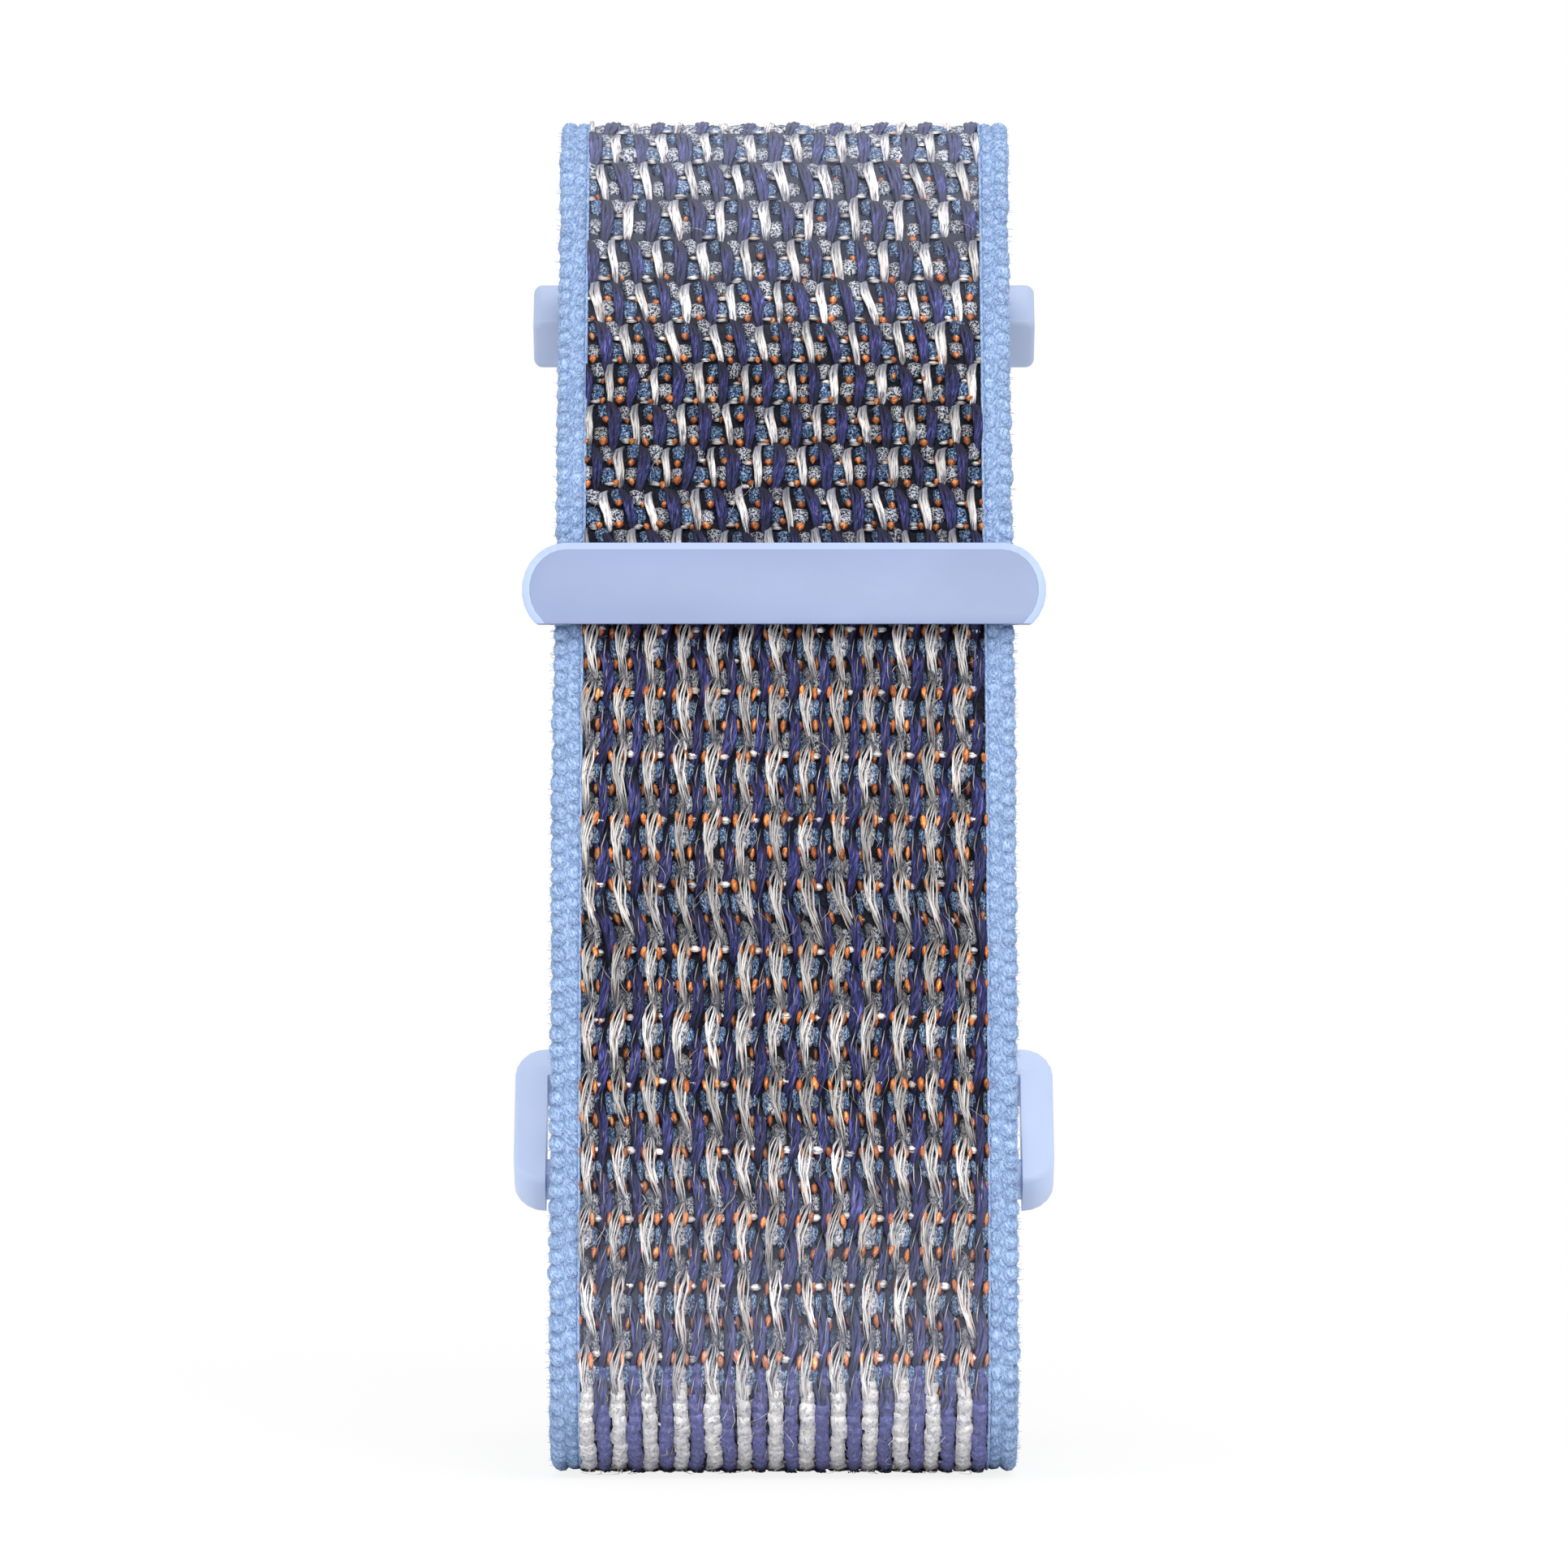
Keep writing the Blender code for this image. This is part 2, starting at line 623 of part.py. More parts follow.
def add_fixed_adapter(parent):
    """The fork that the strap's sewn end is pinned in, with its pin and its quick release bar."""
    place = adapter_axes(FIXED_LEAN, strap_pin_place(), False)
    axes = empty("joint_fixed_adapter", parent, place)
    shoulder = -FIXED_SHOULDER_TO_PIN
    outline = rounded_box_outline(FIXED_WIDTH / 2, shoulder, FIXED_PIN_TO_END, FIXED_CORNER)
    half = FIXED_THICKNESS / 2
    frame = add_piece("fixed_adapter_frame", plate_mesh(outline, -half, half, ADAPTER_FILLET), axes, PLASTIC)
    floor = -SLEEVE_RADIUS - FORK_FLOOR_GAP
    thickness = FIXED_THICKNESS - 2 * TONGUE_RELIEF
    join = (shoulder + floor) / 2
    combine(frame, "UNION", tongue_mesh(-FIXED_PIN_TO_BAR, join, thickness))
    low = (-FORK_HALF, floor, -half - OVERRUN)
    high = (FORK_HALF, FIXED_PIN_TO_END + OVERRUN, half + OVERRUN)
    combine(frame, "DIFFERENCE", box_mesh(low, high))
    seat = FORK_HALF + PIN_SEAT_DEPTH
    combine(frame, "DIFFERENCE", rod_mesh(-seat, seat, PIN_RADIUS + PIN_RUNNING_GAP))
    cut_spring_bar_seat(frame, -FIXED_PIN_TO_BAR, thickness)
    pin_end = seat - PIN_RUNNING_GAP
    add_piece("fixed_strap_pin", rod_mesh(-pin_end, pin_end, PIN_RADIUS), axes, STEEL)
    add_quick_release("fixed", axes, -FIXED_PIN_TO_BAR, thickness)


def add_ring_adapter(parent):
    """The frame whose slot takes the strap and whose round bar the strap folds over."""
    place = adapter_axes(RING_LEAN, ring_bar_place(), True)
    axes = empty("joint_ring_adapter", parent, place)
    outline = rounded_box_outline(RING_WIDTH / 2, -RING_SHOULDER_TO_BAR, RING_BAR_RADIUS, RING_CORNER)
    half = RING_THICKNESS / 2
    frame = add_piece("ring_adapter_frame", plate_mesh(outline, -half, half, ADAPTER_FILLET), axes, PLASTIC)
    slot = -RING_BAR_RADIUS - RING_SLOT_LENGTH
    thickness = RING_THICKNESS - 2 * TONGUE_RELIEF
    join = (slot - RING_SHOULDER_TO_BAR) / 2
    combine(frame, "UNION", tongue_mesh(-RING_BAR_TO_BAR, join, thickness))
    low = (-RING_SLOT_HALF, slot, -half - OVERRUN)
    high = (RING_SLOT_HALF, RING_BAR_RADIUS + OVERRUN, half + OVERRUN)
    combine(frame, "DIFFERENCE", box_mesh(low, high))
    reach = RING_SLOT_HALF + RING_BAR_SEAT
    combine(frame, "UNION", rod_mesh(-reach, reach, RING_BAR_RADIUS - TONGUE_RELIEF))
    cut_spring_bar_seat(frame, -RING_BAR_TO_BAR, thickness)
    add_quick_release("ring", axes, -RING_BAR_TO_BAR, thickness)


def add_quick_release(prefix, axes, bar, thickness):
    """The spring bar in a tongue: barrel, fixed tip, spring, and the plunger that the knob draws in."""
    place = world_of(axes) @ Matrix.Translation((0, bar, 0))
    seat = empty(f"{prefix}_bar_axes", axes, place)
    slide = empty(f"joint_{prefix}_release", seat, place)
    end = BARREL_LENGTH / 2
    add_barrel(prefix, seat, end)
    add_fixed_tip(prefix, seat, end)
    add_plunger(prefix, slide, end, thickness)
    add_spring(prefix, seat, end)


def add_barrel(prefix, seat, end):
    """A tube with an open end for the fixed tip and a shoulder that keeps the plunger in."""
    neck = TIP_RADIUS + BAR_RUNNING_GAP
    bore = BARREL_BORE_RADIUS
    profile = [(-end, bore), (-end, BARREL_RADIUS), (end, BARREL_RADIUS), (end, neck)]
    profile += [(end - BARREL_SHOULDER, neck), (end - BARREL_SHOULDER, bore)]
    barrel = add_piece(f"{prefix}_bar_barrel", turned_mesh(profile), seat, STEEL)
    low = (knob_place() - RELEASE_TRAVEL - SLOT_HALF, -SLOT_HALF, 0)
    high = (knob_place() + SLOT_HALF, SLOT_HALF, BARREL_RADIUS + OVERRUN)
    combine(barrel, "DIFFERENCE", box_mesh(low, high))


def tip_profile(start, collar, radius):
    """A turned end: a body of the given radius up to the collar, then the tip that enters the lug."""
    reach = TONGUE_WIDTH / 2 + TIP_REACH
    profile = [(start, 0), (start, radius), (collar, radius), (collar, TIP_RADIUS)]
    return profile + [(reach - TIP_CHAMFER, TIP_RADIUS), (reach, TIP_RADIUS - TIP_CHAMFER), (reach, 0)]


def add_fixed_tip(prefix, seat, end):
    radius = BARREL_BORE_RADIUS - BAR_RUNNING_GAP
    mesh = turned_mesh(tip_profile(end - PLUG_LENGTH, end, radius))
    mesh.transform(Matrix.Rotation(math.pi, 4, "Z"))
    add_piece(f"{prefix}_bar_fixed_tip", mesh, seat, STEEL)


def add_plunger(prefix, slide, end, thickness):
    """The sliding tip and the knob whose stem is pressed into it."""
    collar = end - BARREL_SHOULDER - BAR_RUNNING_GAP
    radius = BARREL_BORE_RADIUS - BAR_RUNNING_GAP
    mesh = turned_mesh(tip_profile(end - PLUNGER_LENGTH, collar, radius))
    plunger = add_piece(f"{prefix}_release_plunger", mesh, slide, STEEL)
    hole = upright_rod_mesh(knob_place(), [(-STEM_SEAT, radius + OVERRUN, SLOT_HALF)])
    combine(plunger, "DIFFERENCE", hole)
    under = thickness / 2 + KNOB_LIFT
    runs = [(BAR_RUNNING_GAP - STEM_SEAT, under, STEM_RADIUS), (under, under + KNOB_HEIGHT, KNOB_RADIUS)]
    add_piece(f"{prefix}_release_knob", upright_rod_mesh(knob_place(), runs), slide, STEEL)


def add_spring(prefix, seat, end):
    """A coil between the fixed tip's plug and the plunger."""
    low = -end + PLUG_LENGTH + SPRING_END_GAP + SPRING_WIRE_RADIUS
    high = end - PLUNGER_LENGTH - SPRING_END_GAP - SPRING_WIRE_RADIUS
    curve = bpy.data.curves.new(f"{prefix}_bar_spring", "CURVE")
    curve.dimensions = "3D"
    curve.bevel_depth = SPRING_WIRE_RADIUS
    curve.bevel_resolution = 1
    curve.use_fill_caps = True
    count = SPRING_TURNS * SPRING_TURN_STEPS
    strand = curve.splines.new("POLY")
    strand.points.add(count)
    for k in range(count + 1):
        turn = 2 * math.pi * k / SPRING_TURN_STEPS
        x = low + (high - low) * k / count
        strand.points[k].co = (x, SPRING_RADIUS * math.cos(turn), SPRING_RADIUS * math.sin(turn), 1)
    spring = bpy.data.objects.new(f"{prefix}_bar_spring", curve)
    bpy.context.collection.objects.link(spring)
    spring.parent = seat
    curve.materials.append(material(STEEL))


def centre_on_origin(root):
    """Moves the whole strap so that the middle of its depth is at y = 0."""
    bpy.context.view_layer.update()
    depths = []
    for item in bpy.data.objects:
        if item.type in ("MESH", "CURVE") and not item.hide_render:
            depths += [(item.matrix_world @ Vector(corner)).y for corner in item.bound_box]
    root.location.y -= (min(depths) + max(depths)) / 2
    bpy.context.view_layer.update()


def main():
    clear_scene()
    route = strap_route()
    root = empty("strap_root", None, Matrix.Identity(4))
    top = add_flap(route, root)
    add_strap_run(route, UPPER_LENGTH + SEGMENT_GAP / 2, top - SEGMENT_GAP / 2, root, "base")
    last = add_upper(route, root)
    add_fixed_adapter(last)
    add_ring_adapter(root)
    centre_on_origin(root)


main()
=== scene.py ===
"""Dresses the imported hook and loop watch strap: woven webbing, knitted edges, tab, adapters, stage."""

import math

import bmesh
import bpy
import numpy as np
from mathutils import Matrix, Vector


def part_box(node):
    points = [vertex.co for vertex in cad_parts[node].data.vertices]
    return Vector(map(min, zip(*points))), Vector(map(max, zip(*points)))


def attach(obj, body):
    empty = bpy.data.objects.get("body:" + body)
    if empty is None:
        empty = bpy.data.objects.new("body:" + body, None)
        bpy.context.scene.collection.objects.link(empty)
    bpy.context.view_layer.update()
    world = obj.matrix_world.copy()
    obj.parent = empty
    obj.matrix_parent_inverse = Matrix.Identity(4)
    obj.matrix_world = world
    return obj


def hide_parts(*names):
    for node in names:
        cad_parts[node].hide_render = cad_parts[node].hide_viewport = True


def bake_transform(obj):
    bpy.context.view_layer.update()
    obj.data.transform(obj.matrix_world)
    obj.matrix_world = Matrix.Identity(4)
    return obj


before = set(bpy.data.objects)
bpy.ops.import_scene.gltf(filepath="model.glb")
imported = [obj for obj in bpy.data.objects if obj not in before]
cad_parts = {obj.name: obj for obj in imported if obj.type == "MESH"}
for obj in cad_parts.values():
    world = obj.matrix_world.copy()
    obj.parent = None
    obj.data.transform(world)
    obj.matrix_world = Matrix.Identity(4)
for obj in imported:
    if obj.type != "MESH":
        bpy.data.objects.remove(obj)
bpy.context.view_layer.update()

bl_info = {
    "name": "Hook and Loop Watch Strap",
    "version": (1, 0, 0),
    "blender": (4, 5, 0),
    "location": "3D View > Sidebar > Strap",
    "description": "Makes the visible pieces of a woven hook and loop watch strap",
    "category": "Object",
}

MM = 0.001
SEED = 41

# The part's route, in millimetres, as its source gives it
STRAP_HALF = 0.9
PANEL_HALF = 10.8
STRAP_EDGE = 12.5
BAR_DEPTH, LOOP_HEIGHT = 47.0, 74.2
UPPER_BAR_HEIGHT, LOWER_BAR_HEIGHT = 59.0, 25.0
FIXED_LEAN, RING_LEAN = math.radians(135), math.radians(231.5)
FIXED_PIN_TO_BAR, RING_BAR_TO_BAR = 6.75, 13.35
LAYER_SPACING, FOLD_RADIUS, SLEEVE_LINE = 2.6, 2.45, 0.85
ROUTE_MARGIN, FOLD_TAPER, END_STEP = 3.5, 13.0, 5.0
FLAP_END_HEIGHT = 47.4
ROUTE_STEPS = 60
FRONT_Y = -24.819
# Yarns lower than this are pressed flat on the floor
FLOOR_PRESS = 0.2
ROUTE_SHARES = (
    (0.727, 0.966), (0.623, 1.021), (0.512, 0.961), (0.445, 0.873), (0.377, 0.790),
    (0.304, 0.705), (0.242, 0.618), (0.184, 0.530), (0.133, 0.440), (0.094, 0.350),
    (0.064, 0.260), (0.038, 0.175), (0.010, 0.095), (0.000, 0.030), (0.070, 0.000),
    (0.170, 0.000), (0.270, 0.000), (0.365, 0.000), (0.455, 0.000), (0.538, 0.006),
)


class Route:
    """A line in the Y-Z plane, in millimetres, by its length. Its normal points away from the wrist
    on the base layer."""

    def __init__(self, points):
        self.points = np.array(points, float)
        steps = np.linalg.norm(np.diff(self.points, axis=0), axis=1)
        self.lengths = np.concatenate(([0.0], np.cumsum(steps)))
        ways = np.gradient(self.points, self.lengths, axis=0)
        self.ways = ways / np.linalg.norm(ways, axis=1)[:, None]

    def at(self, lengths):
        held = np.clip(lengths, 0, self.lengths[-1])
        point = np.stack([np.interp(held, self.lengths, self.points[:, k]) for k in (0, 1)], 1)
        way = np.stack([np.interp(held, self.lengths, self.ways[:, k]) for k in (0, 1)], 1)
        way /= np.linalg.norm(way, axis=1)[:, None]
        point = point + way * (lengths - held)[:, None]
        return point, way, np.stack([way[:, 1], -way[:, 0]], 1)

    def wrap(self, flat):
        """The world places of points given as across, along and height."""
        point, _, normal = self.at(flat[:, 1])
        side = point + normal * flat[:, 2:3]
        pressed = FLOOR_PRESS * np.exp(np.minimum(side[:, 1], FLOOR_PRESS) / FLOOR_PRESS - 1)
        side[:, 1] = np.where(side[:, 1] < FLOOR_PRESS, pressed, side[:, 1])
        return np.column_stack([flat[:, 0], side]) * MM

    def place(self, length, height=0.0):
        return Vector(self.wrap(np.array([[0.0, length, height]]))[0])


def lean(angle):
    return np.array([math.cos(angle), math.sin(angle)])


def base_points():
    bar = np.array([BAR_DEPTH, LOWER_BAR_HEIGHT]) + lean(RING_LEAN) * RING_BAR_TO_BAR
    inner = np.array([lean(RING_LEAN)[1], -lean(RING_LEAN)[0]])
    pin = np.array([BAR_DEPTH, UPPER_BAR_HEIGHT]) + lean(FIXED_LEAN) * FIXED_PIN_TO_BAR
    out, back = lean(FIXED_LEAN) * END_STEP, lean(RING_LEAN) * END_STEP
    touch = bar + inner * FOLD_RADIUS
    spans = np.array([BAR_DEPTH, LOOP_HEIGHT - STRAP_HALF]) - ROUTE_MARGIN
    steered = [np.array(share) * spans + ROUTE_MARGIN for share in ROUTE_SHARES]
    held = [pin - out, pin, pin + out, *steered]
    held += [touch + back * 2, touch + back, touch, touch - back]
    points = []
    for a, b, c, d in zip(held, held[1:], held[2:], held[3:]):
        for step in range(ROUTE_STEPS):
            t = step / ROUTE_STEPS
            parts = ((1 - t) ** 3, 3 * t**3 - 6 * t**2 + 4, -3 * t**3 + 3 * t**2 + 3 * t + 1, t**3)
            points.append(sum(w * p for w, p in zip(parts, (a, b, c, d))) / 6)
    points.append((held[-3] + 4 * held[-2] + held[-1]) / 6)
    turns = [math.pi * k / ROUTE_STEPS for k in range(1, ROUTE_STEPS)]
    along = lean(RING_LEAN)
    fold = [bar + (inner * math.cos(t) - along * math.sin(t)) * FOLD_RADIUS for t in turns]
    return points, fold


def sewn_route():
    """The thin end that is turned back on the wrist side and goes round the strap pin."""
    pin, way, normal = (found[0] for found in ROUTE.at(np.array([0.0])))
    places = [(9.4, -1.1), (8.8, -1.34), (7.0, -1.35), (5.0, -1.35), (3.0, -1.35), (2.0, -1.3), (1.0, -1.05)]
    for step in range(9):
        turn = math.radians(-95 - 170 * step / 8)
        places.append((SLEEVE_LINE * math.cos(turn), SLEEVE_LINE * math.sin(turn)))
    places += [(1.0, 0.78), (2.0, 0.66)]
    return Route([pin + way * s + normal * n for s, n in places])


def strap_route():
    points, fold = base_points()
    base = Route(points)
    end = base.lengths[-1]
    lengths = base.lengths[::-1]
    point, _, normal = base.at(lengths)
    near = np.clip((lengths - end + FOLD_TAPER) / FOLD_TAPER, 0, 1)
    ease = near * near * (3 - 2 * near)
    spacing = LAYER_SPACING + (2 * FOLD_RADIUS - LAYER_SPACING) * ease
    flap = point + normal * spacing[:, None]
    past = (point[:, 1] > FLAP_END_HEIGHT) & (point[:, 0] < BAR_DEPTH / 2)
    whole = np.array([*points, *fold, *flap[: int(np.argmax(past))]])
    return Route(whole + np.array([FRONT_Y, 0.0]))


ROUTE = strap_route()
SEWN_ROUTE = sewn_route()
FLAP_END = ROUTE.lengths[-1]
FLAP_SPLITS = [FLAP_END - 5.1 - 10.2 * k for k in (3, 2, 1, 0)]

# Stretches of the strap by length from the pin: name, start, end, the body that it rides on or the two bodies
# that it lies between, and the CAD segment that it stands for
STRETCHES = (
    ("top_end", 0.9, 5.9, ("upper_3",), "upper_3"),
    ("top_back", 5.9, 17.7, ("upper_3", "upper_2"), "upper_2"),
    ("top_front", 17.7, 29.5, ("upper_2", "upper_1"), "upper_1"),
    ("front_high", 29.5, 41.3, ("upper_1", "strap_base"), "base"),
    ("front_middle", 41.3, 64.5, ("strap_base",), "base"),
    ("front_low", 64.5, 87.5, ("strap_base",), "base"),
    ("front_foot", 87.5, 110.5, ("strap_base",), "base"),
    ("bottom", 110.5, 133.5, ("strap_base",), "base"),
    ("bar_side", 133.5, 157.0, ("strap_base",), "base"),
    ("fold", 157.0, FLAP_SPLITS[0] - 10.2, ("strap_base",), "base"),
    ("flap_low", FLAP_SPLITS[0] - 10.2, FLAP_SPLITS[0], ("strap_base", "flap_1"), "flap_1"),
    ("flap_middle", FLAP_SPLITS[0], FLAP_SPLITS[1], ("flap_1", "flap_2"), "flap_2"),
    ("flap_high", FLAP_SPLITS[1], FLAP_SPLITS[2], ("flap_2", "flap_3"), "flap_3"),
    ("flap_patch", FLAP_SPLITS[2], FLAP_SPLITS[3], ("flap_3", "flap_4"), "flap_4"),
    ("flap_end", FLAP_SPLITS[3], FLAP_END, ("flap_4",), "flap_4"),
)


# Meshes


def new_mesh(bm, name):
    mesh = bpy.data.meshes.new(name)
    bm.to_mesh(mesh)
    bm.free()
    return mesh


def new_object(mesh, name, look=None):
    piece = bpy.data.objects.new(name, mesh)
    bpy.context.scene.collection.objects.link(piece)
    if look is not None:
        mesh.materials.append(look)
    return piece


def reshape(bm, verts, before, after):
    """Takes a ring from one station to the next: across, along, height, half width, half height."""
    x, y, z, wide, high = before
    centre = Matrix.Translation((-x, -y, -z))
    grow = (after[3] / wide, 1, after[4] / high)
    bmesh.ops.scale(bm, verts=verts, vec=grow, space=centre)
    move = (after[0] - x, after[1] - y, after[2] - z)
    bmesh.ops.translate(bm, verts=verts, vec=move)


def strand(name, stations, sides=6, turn=0.0):
    """A closed strand along Y, extruded from station to station, then turned about its height."""
    bm = bmesh.new()
    stand = Matrix.Rotation(math.pi / 2, 4, "X")
    bmesh.ops.create_circle(bm, cap_ends=True, segments=sides, radius=1, matrix=stand)
    end = list(bm.faces)[0]
    reshape(bm, list(end.verts), (0, 0, 0, 1, 1), stations[0])
    for before, after in zip(stations, stations[1:]):
        grown = bmesh.ops.extrude_face_region(bm, geom=[end])["geom"]
        end = next(item for item in grown if isinstance(item, bmesh.types.BMFace))
        reshape(bm, list(end.verts), before, after)
    bmesh.ops.recalc_face_normals(bm, faces=list(bm.faces))
    for face in bm.faces:
        face.smooth = True
    mesh = new_mesh(bm, name)
    table = np.array(stations)
    places = vertex_places(mesh)
    middle = np.interp(places[:, 1], table[:, 1], table[:, 0])
    level = np.interp(places[:, 1], table[:, 1], table[:, 2])
    share = (places[:, 1] - table[0, 1]) / np.ptp(table[:, 1])
    rise = (places[:, 2] - level) / table[:, 4].max()
    fibre = np.column_stack([places[:, 0] - middle, places[:, 1], places[:, 2] - level])
    write_vectors(mesh, "fibre", fibre)
    write_vectors(mesh, "place", np.column_stack([share, rise * 0.5 + 0.5, share * 0]))
    mesh.transform(Matrix.Rotation(turn, 4, "Z"))
    return mesh


def plies(name, stations, count, thick, wander, rng):
    """The plies of one loose yarn: strands side by side over a low dome, which cross a little."""
    made = []
    for ply in range(count):
        middle = (ply + 0.5) / count * 2 - 1
        phase, pace = rng.uniform(0, 2 * math.pi), rng.uniform(1.4, 2.4)
        own = []
        for x, y, z, wide, high in stations:
            across = min(1.0, max(-1.0, middle + wander * math.sin(pace * y + phase)))
            size = min(thick * rng.uniform(0.85, 1.1), wide, high)
            dome = (high - size * 0.8) * math.sqrt(1 - 0.85 * across * across)
            own.append((x + across * (wide - size), y, z + dome, size, size * 0.8))
        made.append(strand(f"{name}_{ply}", own, 4))
    return made


def bead(name, wide, long, high, lap=0.0, rounds=2):
    """A full, flat-topped knot from a sphere of triangles. By lap, one end stands higher."""
    bm = bmesh.new()
    bmesh.ops.create_icosphere(bm, subdivisions=rounds, radius=1)
    bmesh.ops.scale(bm, verts=list(bm.verts), vec=(wide, long, high))
    for face in bm.faces:
        face.smooth = True
    mesh = new_mesh(bm, name)
    places = vertex_places(mesh)
    write_vectors(mesh, "fibre", places)
    share = places / np.array([wide, long, high]) * 0.5 + 0.5
    write_vectors(mesh, "place", np.column_stack([share[:, 1], share[:, 2], share[:, 0] * 0]))
    level = places[:, 2] / high
    places[:, 2] = np.sign(level) * np.abs(level) ** 0.6 * high + places[:, 1] * lap
    move_vertices(mesh, places)
    return mesh


def hook(name, radius, stem, bend, sides=5):
    """A small hook that stands on its stem and bends over along Y."""
    bm = bmesh.new()
    bmesh.ops.create_circle(bm, cap_ends=True, segments=sides, radius=radius)
    grown = bmesh.ops.extrude_face_region(bm, geom=list(bm.faces))["geom"]
    face = next(item for item in grown if isinstance(item, bmesh.types.BMFace))
    bmesh.ops.translate(bm, verts=list(face.verts), vec=(0, 0, stem))
    bmesh.ops.spin(
        bm, geom=[face], cent=(0, bend, stem), axis=(-1, 0, 0), angle=math.radians(165),
        steps=4, use_merge=False,
    )
    bmesh.ops.remove_doubles(bm, verts=list(bm.verts), dist=1e-5)
    bmesh.ops.recalc_face_normals(bm, faces=list(bm.faces))
    for item in bm.faces:
        item.smooth = True
    mesh = new_mesh(bm, name)
    places = vertex_places(mesh)
    write_vectors(mesh, "fibre", places)
    write_vectors(mesh, "place", places * 0 + np.array([0.5, 0.9, 1.0]))
    return mesh


def vertex_places(mesh):
    found = np.empty(len(mesh.vertices) * 3, np.float32)
    mesh.vertices.foreach_get("co", found)
    return found.reshape(-1, 3).astype(float)


def move_vertices(mesh, places):
    mesh.vertices.foreach_set("co", places.astype(np.float32).ravel())
    mesh.update()


def read_vectors(mesh, name):
    found = np.empty(len(mesh.vertices) * 3, np.float32)
    mesh.attributes[name].data.foreach_get("vector", found)
    return found.reshape(-1, 3).astype(float)


def write_vectors(mesh, name, values):
    layer = mesh.attributes.get(name) or mesh.attributes.new(name, "FLOAT_VECTOR", "POINT")
    layer.data.foreach_set("vector", values.astype(np.float32).ravel())


def copies(template, count, name):
    """That many copies of a template in one mesh, all in the same place, by an array."""
    holder = new_object(template.copy(), name)
    array = holder.modifiers.new("Copies", "ARRAY")
    array.count = count
    array.use_relative_offset = False
    array.use_constant_offset = True
    array.constant_offset_displace = (0, 0, 0)
    depsgraph = bpy.context.evaluated_depsgraph_get()
    mesh = bpy.data.meshes.new_from_object(holder.evaluated_get(depsgraph), depsgraph=depsgraph)
    spare = holder.data
    bpy.data.objects.remove(holder)
    bpy.data.meshes.remove(spare)
    return mesh


def scatter(template, rows, name, rng, half=PANEL_HALF + 0.12):
    """Flat copies of a template, one for each row: across, along, height, three scales, lean, tone."""
    mesh = copies(template, len(rows), name)
    places = vertex_places(mesh).reshape(len(rows), -1, 3)
    spot, size = rows[:, None, 0:3], rows[:, None, 3:6]
    places = places * size
    places[:, :, 0] += places[:, :, 1] * rows[:, None, 6]
    places = places + spot
    places[:, :, 0] = np.clip(places[:, :, 0], -half, half)
    move_vertices(mesh, places.reshape(-1, 3))
    fibre = read_vectors(mesh, "fibre").reshape(len(rows), -1, 3)
    fibre = fibre + rng.uniform(0, 400, (len(rows), 1, 3))
    write_vectors(mesh, "fibre", fibre.reshape(-1, 3))
    place = read_vectors(mesh, "place").reshape(len(rows), -1, 3)
    place[:, :, 2] = rows[:, None, 7]
    write_vectors(mesh, "place", place.reshape(-1, 3))
    return mesh


def flip_height(mesh):
    places = vertex_places(mesh)
    places[:, 2] *= -1
    move_vertices(mesh, places)


def wrap_mesh(mesh, route, mirrored):
    """Bends a flat mesh onto a route, which turns it inside out unless it was mirrored first."""
    move_vertices(mesh, route.wrap(vertex_places(mesh)))
    if not mirrored:
        mesh.flip_normals()


def join(parts, name):
    """One object from several, each with its own material."""
    first = parts[0]
    if len(parts) > 1:
        with bpy.context.temp_override(
            active_object=first, selected_objects=parts, selected_editable_objects=parts
        ):
            bpy.ops.object.join()
    first.name = name
    first.data.name = name
    return first


def band(start, end, section, step, name, tone=1.0):
    """A closed band in flat coordinates: a section of across and height, extruded along."""
    bm = bmesh.new()
    corners = [bm.verts.new((x, start, z)) for x, z in section]
    face = bm.faces.new(corners)
    count = max(1, math.ceil((end - start) / step))
    for _ in range(count):
        grown = bmesh.ops.extrude_face_region(bm, geom=[face])["geom"]
        face = next(item for item in grown if isinstance(item, bmesh.types.BMFace))
        bmesh.ops.translate(bm, verts=list(face.verts), vec=(0, (end - start) / count, 0))
    bmesh.ops.recalc_face_normals(bm, faces=list(bm.faces))
    mesh = new_mesh(bm, name)
    places = vertex_places(mesh)
    write_vectors(mesh, "fibre", places)
    write_vectors(mesh, "place", places * 0 + np.array([0.5, 0.7, tone]))
    return mesh


def box_section(half, low, high):
    return [(-half, low), (half, low), (half, high), (-half, high)]


# Materials


def linear(red, green, blue):
    """A colour as a picture shows it, from 0 to 255, as Blender's own linear values."""
    shown = [value / 255 for value in (red, green, blue)]
    return [v / 12.92 if v <= 0.04045 else ((v + 0.055) / 1.055) ** 2.4 for v in shown] + [1.0]


